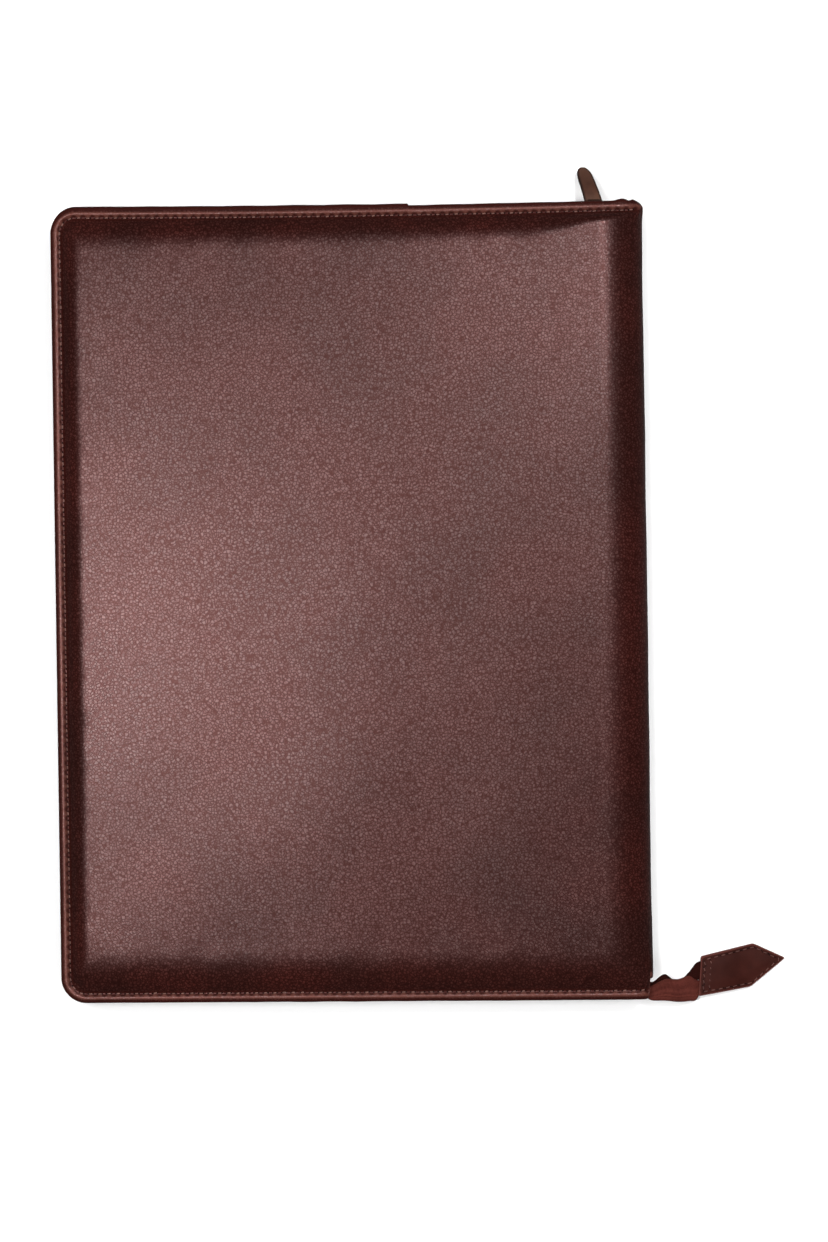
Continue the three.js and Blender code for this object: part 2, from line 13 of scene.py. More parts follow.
import bpy
import numpy as np
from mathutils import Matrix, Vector


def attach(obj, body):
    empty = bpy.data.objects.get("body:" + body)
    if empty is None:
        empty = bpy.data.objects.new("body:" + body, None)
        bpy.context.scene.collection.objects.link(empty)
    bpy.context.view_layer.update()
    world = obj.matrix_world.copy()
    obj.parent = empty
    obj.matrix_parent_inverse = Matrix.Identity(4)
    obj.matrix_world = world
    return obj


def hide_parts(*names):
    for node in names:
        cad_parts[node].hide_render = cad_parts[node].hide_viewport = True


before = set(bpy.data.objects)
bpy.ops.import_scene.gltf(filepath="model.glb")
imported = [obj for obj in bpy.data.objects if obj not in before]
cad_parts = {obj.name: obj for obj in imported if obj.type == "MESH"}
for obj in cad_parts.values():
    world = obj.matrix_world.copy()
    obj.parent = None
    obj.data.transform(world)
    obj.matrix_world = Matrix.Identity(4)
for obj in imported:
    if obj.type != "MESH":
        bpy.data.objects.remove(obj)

log = logging.getLogger("document_case")

MM = 0.001
BODY = "root"
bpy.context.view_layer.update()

Colour = tuple[float, float, float, float]
Face = Sequence[int]
Shape = tuple[np.ndarray, list[tuple[int, ...]]]
Placing = tuple[np.ndarray, np.ndarray]


def clamp01(value: np.ndarray) -> np.ndarray:
    """Returns the values limited to the range from 0 to 1."""
    return np.clip(value, 0.0, 1.0)


def blend(low: np.ndarray, high: np.ndarray, share: np.ndarray) -> np.ndarray:
    """Returns the point at a share of the way from low to high."""
    return low + (high - low) * share


def ease(value: np.ndarray) -> np.ndarray:
    """Returns a smooth step of values between 0 and 1."""
    share = clamp01(value)
    return share * share * (3.0 - 2.0 * share)


def bell(offset: np.ndarray, width: float) -> np.ndarray:
    """Returns a bell curve of 1 at no offset, falling over the width."""
    return np.exp(-((offset / width) ** 2))


def stations(*spans: tuple[float, float, int]) -> np.ndarray:
    """Lists positions over joined spans, each given as start, end and number of steps."""
    parts = [np.linspace(start, end, steps + 1) for start, end, steps in spans]
    return np.unique(np.round(np.concatenate(parts), 9))


def smooth_noise(x: np.ndarray, y: np.ndarray, size: float, seed: int) -> np.ndarray:
    """Adds up a few slanted waves into gentle, repeatable unevenness.

    Args:
        x: first coordinates.
        y: second coordinates.
        size: the typical distance between two bumps.
        seed: picks the waves.

    Returns:
        Values of about -1 to 1.
    """
    draw = np.random.default_rng(seed)
    total = np.zeros(np.broadcast(x, y).shape)
    for _ in range(7):
        turn = draw.uniform(0, math.pi)
        phase = draw.uniform(0, 2 * math.pi)
        pitch = size * draw.uniform(0.7, 1.6)
        run = x * math.cos(turn) + y * math.sin(turn)
        total += np.sin(2 * math.pi * run / pitch + phase)
    return total / 4.0


class Track:
    """A line through points, measured along its length."""

    def __init__(self, points: np.ndarray) -> None:
        """Measures the line."""
        self.points = points
        self.steps = np.diff(points, axis=0)
        self.lengths = np.linalg.norm(self.steps, axis=1)
        self.run = np.concatenate([[0.0], np.cumsum(self.lengths)])
        self.total = float(self.run[-1])

    def count(self, pitch: float) -> int:
        """Returns how many evenly spaced things fit the line best."""
        return max(2, round(self.total / pitch))

    def at(self, place: float) -> np.ndarray:
        """Returns the point at a distance along the line."""
        return self.read(place, self.points)

    def read(self, place: float, rows: np.ndarray) -> np.ndarray:
        """Returns the values at a distance along the line, from one row of values per point."""
        return np.array([np.interp(place, self.run, column) for column in rows.T])

    def ahead(self, place: float, reach: float) -> np.ndarray:
        """Returns the line's direction at a place, taken over a reach to both sides."""
        way = self.at(place + reach) - self.at(place - reach)
        return way / np.linalg.norm(way)


def free_selection() -> None:
    """Leaves object mode with nothing selected."""
    if bpy.context.object and bpy.context.object.mode != "OBJECT":
        bpy.ops.object.mode_set(mode="OBJECT")
    bpy.ops.object.select_all(action="DESELECT")


def choose(piece: bpy.types.Object) -> None:
    """Makes one object the only selected and active one."""
    free_selection()
    piece.select_set(True)
    bpy.context.view_layer.objects.active = piece


@contextmanager
def editing(piece: bpy.types.Object) -> Iterator[None]:
    """Opens a piece in edit mode with all of it selected, and closes it afterwards."""
    choose(piece)
    bpy.ops.object.mode_set(mode="EDIT")
    bpy.ops.mesh.select_all(action="SELECT")
    yield
    free_selection()


def cut_across(places: Sequence[float], axis: int) -> None:
    """Cuts the mesh in edit mode square to an axis, at each place along it."""
    for place in places:
        point, normal = [0.0] * 3, [0.0] * 3
        point[axis], normal[axis] = place, 1.0
        bpy.ops.mesh.select_all(action="SELECT")
        bpy.ops.mesh.bisect(plane_co=point, plane_no=normal)


def shade_by_angle(piece: bpy.types.Object, degrees: float) -> None:
    """Shades a piece smooth, with its edges above an angle left sharp."""
    choose(piece)
    bpy.ops.object.shade_smooth_by_angle(angle=math.radians(degrees))
    free_selection()


def mesh_piece(name: str, points: np.ndarray, faces: Sequence[Face]) -> bpy.types.Object:
    """Makes an object from points and faces and links it to the scene.

    Args:
        name: the object's name.
        points: one row of x, y and z per vertex.
        faces: vertex numbers of each face.

    Returns:
        The new object, with smooth faces.
    """
    mesh = bpy.data.meshes.new(name)
    mesh.from_pydata(points.tolist(), [], [list(face) for face in faces])
    mesh.validate()
    mesh.polygons.foreach_set("use_smooth", np.ones(len(mesh.polygons), dtype=bool))
    piece = bpy.data.objects.new(name, mesh)
    bpy.context.scene.collection.objects.link(piece)
    return piece


def weld(piece: bpy.types.Object, distance: float = 1e-7, outward: bool = True) -> None:
    """Merges doubled vertices and, if asked, turns all faces outwards.

    Args:
        piece: the object to weld.
        distance: vertices nearer than this become one.
        outward: whether the normals are worked out again.
    """
    with editing(piece):
        bpy.ops.mesh.remove_doubles(threshold=distance)
        if outward:
            bpy.ops.mesh.normals_make_consistent(inside=False)


def round_edges(piece: bpy.types.Object, width: float, segments: int, degrees: float) -> None:
    """Rounds a piece's edges.

    Args:
        piece: the object that it changes.
        width: the rounding's width.
        segments: how many faces round each edge.
        degrees: edges above this angle are rounded.
    """
    choose(piece)
    modifier = piece.modifiers.new("Bevel", "BEVEL")
    modifier.width, modifier.segments = width, segments
    modifier.limit_method, modifier.angle_limit = "ANGLE", math.radians(degrees)
    bpy.ops.object.modifier_apply(modifier=modifier.name)
    free_selection()


def point_values(piece: bpy.types.Object, name: str, values: np.ndarray) -> None:
    """Stores one number per vertex as an attribute that materials read.

    Args:
        piece: the object that has the vertices.
        name: the attribute's name.
        values: one number per vertex.
    """
    layer = piece.data.attributes.new(name, "FLOAT", "POINT")
    layer.data.foreach_set("value", np.asarray(values, dtype=np.float32))


def points_of(piece: bpy.types.Object) -> np.ndarray:
    """Returns a piece's vertices, one row each."""
    return np.array([vertex.co[:] for vertex in piece.data.vertices])


def taken_apart(piece: bpy.types.Object) -> Shape:
    """Returns a piece's points and faces, and removes the piece."""
    points, faces = points_of(piece), [tuple(face.vertices) for face in piece.data.polygons]
    bpy.data.objects.remove(piece, do_unlink=True)
    return points, faces


def repeated(name: str, shape: Shape, placings: Sequence[Placing]) -> bpy.types.Object:
    """Makes one mesh of a shape at several places.

    Args:
        name: the object's name.
        shape: the shape's points and faces.
        placings: for each copy its centre, and its three axes as rows.

    Returns:
        The new object.
    """
    points, faces = shape
    every = np.concatenate([points @ axes + centre for centre, axes in placings])
    bases = range(0, len(every), len(points))
    return mesh_piece(name, every, [[base + corner for corner in face] for base in bases for face in faces])


def tube_faces(rings: int, count: int, closed: bool = False) -> list[list[int]]:
    """Returns the four-sided faces between rings of points.

    Args:
        rings: how many rings there are.
        count: how many points a ring has.
        closed: whether the last ring joins the first.

    Returns:
        The vertex numbers of each face.
    """
    total = rings * count
    starts = range(0, total if closed else total - count, count)
    return [[start + i, start + (i + 1) % count, (start + count + (i + 1) % count) % total,
             (start + count + i) % total] for start in starts for i in range(count)]


class Wire:
    """A socket of a node tree that takes part in Python arithmetic."""

    def __init__(self, graph: "Graph", socket: bpy.types.NodeSocket) -> None:
        """Wraps an output socket of the graph."""
        self.graph = graph
        self.socket = socket

    def maths(self, operation: str, *others: "Wire | float") -> "Wire":
        """Returns the result of a Math node on this value and the others."""
        return self.graph.node("ShaderNodeMath", {"operation": operation}, dict(enumerate((self, *others))))

    def __add__(self, other: "Wire | float") -> "Wire":
        """Adds."""
        return self.maths("ADD", other)

    def __radd__(self, other: float) -> "Wire":
        """Adds, with the number first."""
        return self.maths("ADD", other)

    def __sub__(self, other: "Wire | float") -> "Wire":
        """Subtracts."""
        return self.maths("SUBTRACT", other)

    def __rsub__(self, other: float) -> "Wire":
        """Subtracts this value from a number."""
        return self.graph.node("ShaderNodeMath", {"operation": "SUBTRACT"}, {0: other, 1: self})

    def __mul__(self, other: "Wire | float") -> "Wire":
        """Multiplies."""
        return self.maths("MULTIPLY", other)

    def __rmul__(self, other: float) -> "Wire":
        """Multiplies, with the number first."""
        return self.maths("MULTIPLY", other)

    def __truediv__(self, other: "Wire | float") -> "Wire":
        """Divides."""
        return self.maths("DIVIDE", other)

    def step(self, low: float, high: float) -> "Wire":
        """Returns 0 below low, 1 above high and a smooth rise between them."""
        settings = {"interpolation_type": "SMOOTHSTEP"}
        return self.graph.node("ShaderNodeMapRange", settings, {0: self, 1: low, 2: high, 3: 0.0, 4: 1.0})

    def ripple(self) -> "Wire":
        """Returns a wave between 0 and 1 that repeats with every whole number."""
        return (self * (2 * math.pi)).maths("SINE") * 0.5 + 0.5


Input = Wire | float | tuple[float, ...]


class Graph:
    """The node tree of one material."""

    def __init__(self, name: str) -> None:
        """Makes an empty material."""
        self.material = bpy.data.materials.new(name)
        self.material.use_nodes = True
        self.tree = self.material.node_tree
        self.tree.nodes.clear()

    def add(self, kind: str, settings: dict[str, object], inputs: dict[int | str, Input]) -> bpy.types.Node:
        """Adds a node.

        Args:
            kind: the node's type.
            settings: its properties, set before its sockets.
            inputs: values or wires by socket name or number.

        Returns:
            The node.
        """
        made = self.tree.nodes.new(kind)
        for key, value in settings.items():
            setattr(made, key, value)
        for key, value in inputs.items():
            if isinstance(value, Wire):
                self.tree.links.new(value.socket, made.inputs[key])
            else:
                made.inputs[key].default_value = value
        return made

    def node(self, kind: str, settings: dict[str, object], inputs: dict[int | str, Input],
             out: int | str = 0) -> Wire:
        """Adds a node as add does.

        Args:
            kind: the node's type.
            settings: its properties.
            inputs: values or wires by socket name or number.
            out: the name or number of the output that is returned.

        Returns:
            The chosen output.
        """
        return Wire(self, self.add(kind, settings, inputs).outputs[out])

    def place(self, kind: str = "Object") -> Wire:
        """Returns the object coordinates, or another kind."""
        return self.node("ShaderNodeTexCoord", {}, {}, kind)

    def part(self, place: Wire, axis: str) -> Wire:
        """Returns one axis of some coordinates."""
        return self.node("ShaderNodeSeparateXYZ", {}, {0: place}, axis)

    def stored(self, name: str) -> Wire:
        """Returns a number stored on the vertices."""
        return self.node("ShaderNodeAttribute", {"attribute_name": name}, {}, "Fac")

    def noise(self, place: Wire, scale: float, detail: float = 3.0, out: int | str = 0) -> Wire:
        """Returns noise of about 0 to 1."""
        return self.node("ShaderNodeTexNoise", {}, {"Vector": place, "Scale": scale, "Detail": detail}, out)

    def cells(self, place: Wire, size: float, feature: str, **inputs: float) -> Wire:
        """Returns a distance in a pattern of cells of a size."""
        return self.node("ShaderNodeTexVoronoi", {"feature": feature},
                         {"Vector": place, "Scale": 1.0 / size, **inputs}, "Distance")

    def shifted(self, place: Wire, scale: float, amount: float) -> Wire:
        """Returns coordinates pushed about by noise, so that patterns lose their regularity."""
        swirl = self.noise(place, scale, 1.0, "Color")
        centred = self.node("ShaderNodeVectorMath", {"operation": "SUBTRACT"}, {0: swirl, 1: (0.5, 0.5, 0.5)})
        scaled = self.node("ShaderNodeVectorMath", {"operation": "SCALE"}, {0: centred, "Scale": amount})
        return self.node("ShaderNodeVectorMath", {"operation": "ADD"}, {0: place, 1: scaled})

    def mix(self, share: Input, low: Input, high: Input) -> Wire:
        """Returns a blend of two colours, by the numbers of the node's colour sockets."""
        return self.node("ShaderNodeMix", {"data_type": "RGBA"}, {0: share, 6: low, 7: high}, 2)

    def bump(self, height: Wire, strength: float, distance: float) -> Wire:
        """Returns normals bent by a height."""
        return self.node("ShaderNodeBump", {}, {"Height": height, "Strength": strength, "Distance": distance},
                         "Normal")

    def finish(self, **sockets: Input) -> bpy.types.Material:
        """Adds the surface shader and the output.

        Args:
            sockets: the shader's sockets, with underscores for spaces.

        Returns:
            The finished material.
        """
        named = {key.replace("_", " "): value for key, value in sockets.items()}
        surface = self.node("ShaderNodeBsdfPrincipled", {}, named)
        self.add("ShaderNodeOutputMaterial", {}, {"Surface": surface})
        return self.material


def colour(*display: int) -> Colour:
    """Returns a shader colour from its red, green and blue display values of 0 to 255."""
    shares = [value / 255.0 for value in display]
    return (*(share / 12.92 if share <= 0.04045 else ((share + 0.055) / 1.055) ** 2.4 for share in shares), 1.0)


@dataclass(frozen=True)
class NappaFinish:
    """Soft full-grain leather: fine glossy pebbles with dull pores and a soft sheen; its border ridge is lightened,
    partly as wear and partly as a painted highlight, and its rolled edge and the pockets between the stitch puffs are
    darkened as painted shade.
    """

    name: str
    pore: Colour
    deep: Colour
    base: Colour
    # worn lightens the border ridge: partly wear, partly a painted highlight.
    worn: Colour
    sheen: Colour
    roughness: float
    gloss: float = 0.24
    coat: float = 0.5
    coat_roughness: float = 0.36
    pebble: float = 1.35 * MM
    relief: float = 0.03 * MM
    ridge_inset: float = 2.2 * MM
    scallop: float = 0.55 * MM

    def material(self) -> bpy.types.Material:
        """Returns the leather.

        Its pieces store their distance from the edge as inset, and the seam's stitches counted along it as seam.
        """
        graph = Graph(self.name)
        place = graph.shifted(graph.place(), 420.0, 0.8 * MM)
        pores = graph.cells(place, self.pebble, "DISTANCE_TO_EDGE")
        fine = graph.noise(graph.place(), 850.0, 2.0)
        patches = graph.noise(graph.place(), 26.0, 3.0)
        folds = graph.noise(place, 900.0, 1.0)
        pebble = pores.step(0.0, 0.24) * (0.35 + 0.65 * folds.step(0.38, 0.62))
        body = graph.mix(patches.step(0.3, 0.7), self.deep, self.base)
        body = graph.mix((1.0 - pebble) * 0.8, body, self.pore)
        inset = graph.stored("inset")
        wave = (graph.stored("seam") * (2 * math.pi)).maths("COSINE")
        lip = inset + wave * self.scallop
        # The rolled edge darkens towards deep: painted shade where the turned edge falls away from the light.
        rolled = 1.0 - self.rise(inset, 0.3, 0.6)
        # The border ridge takes the worn colour: partly wear, partly a painted highlight where the ridge catches the
        # light.
        ridge = self.rise(inset, 0.5, 0.9) * (1.0 - self.rise(lip, 1.2, 1.75))
        # The pockets between the stitch puffs darken towards deep: painted shade, and their coat is thinned.
        pocket_shade = self.rise(lip, 1.5, 1.9) * (1.0 - self.rise(inset, 2.0, 2.5))
        body = graph.mix(rolled * 0.7, body, self.deep)
        body = graph.mix(ridge * (0.35 + patches * 0.65), body, self.worn)
        body = graph.mix(pocket_shade * 0.7, body, self.deep)
        rough = self.roughness + 0.05 * (1.0 - pebble) + 0.1 * (fine - 0.5)
        shine = self.coat * pebble * (0.5 + fine) * (1.0 - rolled * 0.9) * (1.0 - pocket_shade * 0.8)
        normal = graph.bump(pebble * 0.7 + fine * 0.35, 1.0, self.relief)
        return graph.finish(Base_Color=body, Roughness=rough, Normal=normal, Specular_Tint=self.sheen,
                            Specular_IOR_Level=self.gloss, Coat_Weight=shine, Coat_Roughness=self.coat_roughness)

    def rise(self, distance: Wire, low: float, high: float) -> Wire:
        """Returns a smooth rise between two shares of the edge ridge's distance from the edge."""
        return distance.step(low * self.ridge_inset, high * self.ridge_inset)


@dataclass(frozen=True)
class SmoothLeatherFinish:
    """Firm strap leather with painted or worn edges."""

    name: str
    base: Colour
    shade: Colour
    rim: Colour
    sheen: Colour
    roughness: float
    rim_width: float
    gloss: float = 0.3
    grain: float = 0.9 * MM
    relief: float = 0.05 * MM

    def material(self) -> bpy.types.Material:
        """Returns the leather; its pieces store their distance from the edge as inset."""
        graph = Graph(self.name)
        place = graph.shifted(graph.place(), 500.0, 0.4 * MM)
        grain = graph.cells(place, self.grain, "SMOOTH_F1", Smoothness=0.35)
        streaks = graph.noise(graph.place(), 320.0, 4.0)
        cloud = graph.noise(graph.place(), 70.0, 2.0)
        body = graph.mix((cloud * 0.6 + streaks * 0.4).step(0.3, 0.7), self.shade, self.base)
        edge = 1.0 - graph.stored("inset").step(0.3 * self.rim_width, self.rim_width)
        body = graph.mix(edge * (0.6 + 0.4 * streaks), body, self.rim)
        rough = self.roughness + 0.12 * (streaks - 0.5)
        normal = graph.bump(0.5 * (1.0 - grain) + 0.5 * streaks, 0.6, self.relief)
        return graph.finish(Base_Color=body, Roughness=rough, Normal=normal, Specular_Tint=self.sheen,
                            Specular_IOR_Level=self.gloss)


@dataclass(frozen=True)
class TapeFinish:
    """Woven zip tape: a herringbone of fine warp ribs."""

    name: str
    base: Colour
    shade: Colour
    rib: float = 0.62 * MM
    bar: float = 2.6 * MM
    relief: float = 0.16 * MM
    gloss: float = 0.12

    def material(self) -> bpy.types.Material:
        """Returns the weave, laid out on the tape's own UV map, which is in metres."""
        graph = Graph(self.name)
        flat = graph.place("UV")
        along, across = graph.part(flat, "X"), graph.part(flat, "Y")
        swing = (across / self.bar).maths("PINGPONG", 1.0)
        ribs = ((along + swing * (self.bar * 0.9)) / self.rib).ripple()
        height = ribs * 0.65 + (across / (self.rib * 0.8)).ripple() * 0.35
        fuzz = graph.noise(graph.place(), 1500.0, 2.0)
        cloud = graph.noise(graph.place(), 90.0, 2.0)
        body = graph.mix((height * 0.4 + cloud * 0.5 + fuzz * 0.3 - 0.1).step(0.1, 0.9), self.shade, self.base)
        return graph.finish(Base_Color=body, Roughness=0.82 + 0.1 * fuzz, Specular_Tint=self.base,
                            Specular_IOR_Level=self.gloss,
                            Normal=graph.bump(height + 0.4 * fuzz, 0.8, self.relief))


@dataclass(frozen=True)
class ThreadFinish:
    """Twisted sewing thread."""

    name: str
    base: Colour
    shade: Colour
    relief: float = 0.06 * MM

    def material(self) -> bpy.types.Material:
        """Returns the thread, with its tone changing from stitch to stitch."""
        graph = Graph(self.name)
        twist = graph.node("ShaderNodeTexWave", {"bands_direction": "DIAGONAL"},
                           {"Vector": graph.place(), "Scale": 900.0, "Distortion": 1.0}, "Fac")
        cloud = graph.noise(graph.place(), 160.0, 2.0)
        body = graph.mix((cloud * 0.8 + twist * 0.3).step(0.25, 0.8), self.shade, self.base)
        return graph.finish(Base_Color=body, Roughness=0.6 + 0.1 * twist,
                            Normal=graph.bump(twist, 0.5, self.relief))


@dataclass(frozen=True)
class HoleShadeFinish:
    """Painted shade of needle holes: a dark, mottled dull colour."""

    name: str
    dark: Colour
    paler_shade: Colour

    def material(self) -> bpy.types.Material:
        """Returns the holes' dull, mottled painted shade."""
        graph = Graph(self.name)
        body = graph.mix(graph.noise(graph.place(), 900.0, 2.0), self.dark, self.paler_shade)
        return graph.finish(Base_Color=body, Roughness=0.9, Specular_IOR_Level=0.1)


@dataclass(frozen=True)
class TeethFinish:
    """Half-matt moulded zip teeth."""

    name: str
    base: Colour
    worn: Colour
    relief: float = 0.05 * MM

    def material(self) -> bpy.types.Material:
        """Returns the teeth's plastic, a little rubbed."""
        graph = Graph(self.name)
        rub = graph.noise(graph.place(), 420.0, 3.0)
        body = graph.mix(rub.step(0.45, 0.75), self.base, self.worn)
        return graph.finish(Base_Color=body, Roughness=0.34 + 0.25 * rub,
                            Normal=graph.bump(rub, 0.25, self.relief))


@dataclass(frozen=True)
class AgedMetalFinish:
    """Aged brass-coloured slider metal with patches of tarnish."""

    name: str
    bright: Colour
    dull: Colour
    relief: float = 0.03 * MM

    def material(self) -> bpy.types.Material:
        """Returns the metal."""
        graph = Graph(self.name)
        tarnish = graph.noise(graph.place(), 380.0, 4.0).step(0.4, 0.7)
        scratches = graph.noise(graph.place(), 2600.0, 2.0)
        body = graph.mix(tarnish, self.bright, self.dull)
        rough = 0.28 + 0.22 * tarnish + 0.08 * scratches
        return graph.finish(Base_Color=body, Metallic=1.0, Roughness=rough,
                            Normal=graph.bump(scratches, 0.25, self.relief))


@dataclass(frozen=True)
class FloorFinish:
    """The studio's pale floor, which glows a little."""

    name: str
    low: Colour
    high: Colour
    glow: float

    def material(self) -> bpy.types.Material:
        """Returns the floor's faintly mottled white."""
        graph = Graph(self.name)
        body = graph.mix(graph.noise(graph.place(), 3.0, 2.0), self.low, self.high)
        return graph.finish(Base_Color=body, Roughness=0.9, Emission_Color=body, Emission_Strength=self.glow)


class Side(Enum):
    """The two panels of the case."""

    FRONT = 1
    BACK = -1


@dataclass(frozen=True)
class Spots:
    """Places on the leather before it is shaped.

    x holds places across the panel, used where turn is 90 or -90 degrees, and fore their distances from the
    fore-edge. turn is 90 on the front, 0 on the spine's outermost line and -90 on the back. y holds places
    along the case before its edges settle, and end their distances from the top or bottom edge.
    """

    x: np.ndarray
    fore: np.ndarray
    turn: np.ndarray
    y: np.ndarray
    end: np.ndarray

    @property
    def inset(self) -> np.ndarray:
        """Returns the distances from the nearest edge."""
        return np.minimum(self.fore, self.end)

    @property
    def on_spine(self) -> np.ndarray:
        """Returns which places lie on the spine's roll."""
        return np.abs(self.turn) < 89.999


@dataclass(frozen=True)
class Gather:
    """A small bulge or dent of the top edge beside the spine."""

    x: float
    width: float
    height: float


@dataclass
class CaseForm:
    """The case's outline and leather surface, which every other piece follows."""

    width: float = 257.0 * MM
    length: float = 345.5 * MM
    thickness: float = 26.0 * MM
    corner: float = 11.0 * MM
    crown: float = 1.2 * MM
    taper: float = 2.2 * MM
    sag: float = 1.0 * MM
    edge_zone: float = 25.0 * MM
    border: float = 4.8 * MM
    border_wall: float = 2.2 * MM
    panel_wall: float = 5.4 * MM
    spine_wall: float = 3.6 * MM
    pad_rise: float = 4.4 * MM
    fore_slope: float = 9.8 * MM
    top_slope: float = 14.8 * MM
    top_slope_spine: float = 4.5 * MM
    narrowing_start: float = 76.0 * MM
    narrowing_run: float = 37.0 * MM
    bottom_slope: float = 19.8 * MM
    spine_depth: float = 20.0 * MM
    spine_end_round: float = 3.0 * MM
    notch_end_round: float = 1.2 * MM
    notch_depth: float = 8.6 * MM
    notch_angle: float = 34.0
    notch_blur: float = 8.0
    notch_fade: float = 60.0 * MM
    strip_joint: float = 27.0 * MM
    strip_step: float = 0.7 * MM
    strip_width: float = 3.2 * MM
    strip_height: float = 0.2 * MM
    top_allowance: float = 0.35 * MM
    waver: float = 0.12 * MM
    waver_pitch: float = 17.0 * MM
    gathers_start: float = 110.0 * MM
    gathers_run: float = 6.0 * MM
    gathers: tuple[Gather, ...] = (
        Gather(119.5 * MM, 2.6 * MM, 0.8 * MM),
        Gather(124.4 * MM, 1.2 * MM, 0.45 * MM),
        Gather(122.6 * MM, 0.8 * MM, -0.5 * MM),
    )
    groove: float = 0.45 * MM
    groove_width: float = 0.7 * MM
    welt: float = 0.32 * MM
    welt_width: float = 0.95 * MM
    pucker: float = 0.15 * MM
    pucker_pitch: float = 13.0 * MM
    unevenness: float = 0.16 * MM
    uneven_pitch: float = 70.0 * MM
    crease: float = 0.2 * MM
    crease_pitch: float = 60.0 * MM
    ruck: float = 0.35 * MM
    ruck_pitch: float = 0.9 * MM
    ruck_reach: float = 5.0 * MM
    stitch_inset: float = 4.1 * MM
    stitch_pitch: float = 4.0 * MM
    zip_inset: float = 4.6 * MM

    @property
    def mid(self) -> float:
        """Returns the height of the plane between the covers."""
        return self.thickness / 2

    @property
    def spine_start(self) -> float:
        """Returns the x at which the panels turn into the spine."""
        return self.width / 2 - self.spine_depth

    @property
    def border_inner(self) -> float:
        """Returns the border's inner face, measured from the mid plane."""
        return self.mid - self.pad_rise - self.border_wall

    def settle(self, x: np.ndarray, y: np.ndarray) -> np.ndarray:
        """Returns y with the top and bottom edges' departures from a rectangle."""
        across = np.clip(x / self.width, -0.5, 0.5)
        share = np.minimum(1.0, np.abs(y) / (self.length / 2 - self.edge_zone))
        top = -self.sag * (1 - 4 * across**2)
        bottom = -self.taper * across
        return y + share * np.where(y > 0, top, bottom)

    def nearness(self, at: Spots) -> np.ndarray:
        """Returns 0 on a panel's flat field, rising over the slopes to 1 at the border."""
        narrowing = ease((at.x - self.narrowing_start) / self.narrowing_run)
        slope = np.where(at.y < 0, self.bottom_slope, blend(self.top_slope, self.top_slope_spine, narrowing))
        near_fore = clamp01(1 - (at.fore - self.border) / self.fore_slope)
        near_end = clamp01(1 - (at.end - self.border) / slope)
        return clamp01((near_fore**5 + near_end**5) ** 0.2)

    def surface(self, at: Spots, layer: int) -> np.ndarray:
        """Works out points of the leather.

        Args:
            at: the places on it.
            layer: 1 for the outside and -1 for the inside.

        Returns:
            One row of x, y and z per point.
        """
        near = self.nearness(at)
        rise = 1 - near**3
        rolled = np.sqrt(1 - (1 - clamp01(at.inset / (self.border_wall / 2))) ** 2) * layer
        # The spine's roll is squarer at its ends, where its wall is as thin as the border.
        power = 2 / blend(4.0, 2.0, rise)
        angle = np.radians(at.turn)
        reach = self.spine_reach(at, rise, rolled, layer) * np.abs(np.cos(angle)) ** power
        x = np.where(at.on_spine, self.spine_start + reach, at.x)
        lift = np.where(at.on_spine, np.abs(np.sin(angle)) ** power, 1.0)
        z = self.mid + np.sign(at.turn) * self.half_height(at, near, rolled, layer) * lift
        opening = ease((self.notch_angle + self.notch_blur / 2 - np.abs(at.turn)) / self.notch_blur)
        notch = self.notch_depth * clamp01(1 - at.end / self.notch_fade) * opening
        y = at.y + np.where(at.on_spine & (at.y < 0), notch, 0)
        in_corner = (at.fore < self.corner) & (at.end < self.corner)
        across, along = 1 - at.fore / self.corner, 1 - at.end / self.corner
        radius = self.corner * np.maximum(across, along)
        safe_across, safe_along = np.maximum(across, 1e-9), np.maximum(along, 1e-9)
        arc = (math.pi / 4) * np.where(along < across, along / safe_across, 2 - across / safe_along)
        x = np.where(in_corner, self.corner - self.width / 2 - radius * np.cos(arc), x)
        corner_y = np.sign(at.y) * (self.length / 2 - self.corner + radius * np.sin(arc))
        y = self.settle(x, np.where(in_corner, corner_y, y))
        if layer > 0:
            share = np.where(in_corner, ease(arc * 2 / math.pi), 1.0)
            y = y + share * self.edge_line(x, at, np.where(in_corner, at.inset, at.end))
        return np.stack(np.broadcast_arrays(x, y, z), axis=-1)

    def half_height(self, at: Spots, near: np.ndarray, rolled: np.ndarray, layer: int) -> np.ndarray:
        """Returns how far the panels' leather lies from the mid plane.

        Args:
            at: the places.
            near: their nearness to the border.
            rolled: 1 on the outer face and -1 on the inner one, meeting at 0 on the rolled edge.
            layer: 1 for the outside and -1 for the inside.

        Returns:
            The distances.
        """
        rise = 1 - near**3
        dome = (1 - (at.x / (self.width / 2)) ** 2) * (1 - (at.y / (self.length / 2)) ** 2)
        outer = blend(self.mid - self.pad_rise, self.mid, rise) + np.where(at.turn > 0, self.crown * dome * rise, 0)
        inner = blend(self.border_inner, self.mid - self.panel_wall, rise)
        if layer > 0:
            outer = outer + self.relief(at, near)
        return (outer + inner) / 2 + rolled * (outer - inner) / 2

    def spine_reach(self, at: Spots, rise: np.ndarray, rolled: np.ndarray, layer: int) -> np.ndarray:
        """Returns how far the spine's leather reaches past the panels.

        Args:
            at: the places.
            rise: 0 at the case's ends and 1 where the spine has its full roundness.
            rolled: 1 on the outer face and -1 on the inner one, meeting at 0 on the rolled edge.
            layer: 1 for the outside and -1 for the inside.

        Returns:
            The distances.
        """
        wall = blend(self.border_wall, self.spine_wall, rise)
        end_round = np.where(at.y < 0, self.notch_end_round, self.spine_end_round)
        corner = end_round * (1 - np.sqrt(1 - clamp01(1 - at.end / end_round) ** 2))
        reach = self.spine_depth - corner - wall / 2 + rolled * wall / 2
        return reach + self.spine_relief(at) if layer > 0 else reach

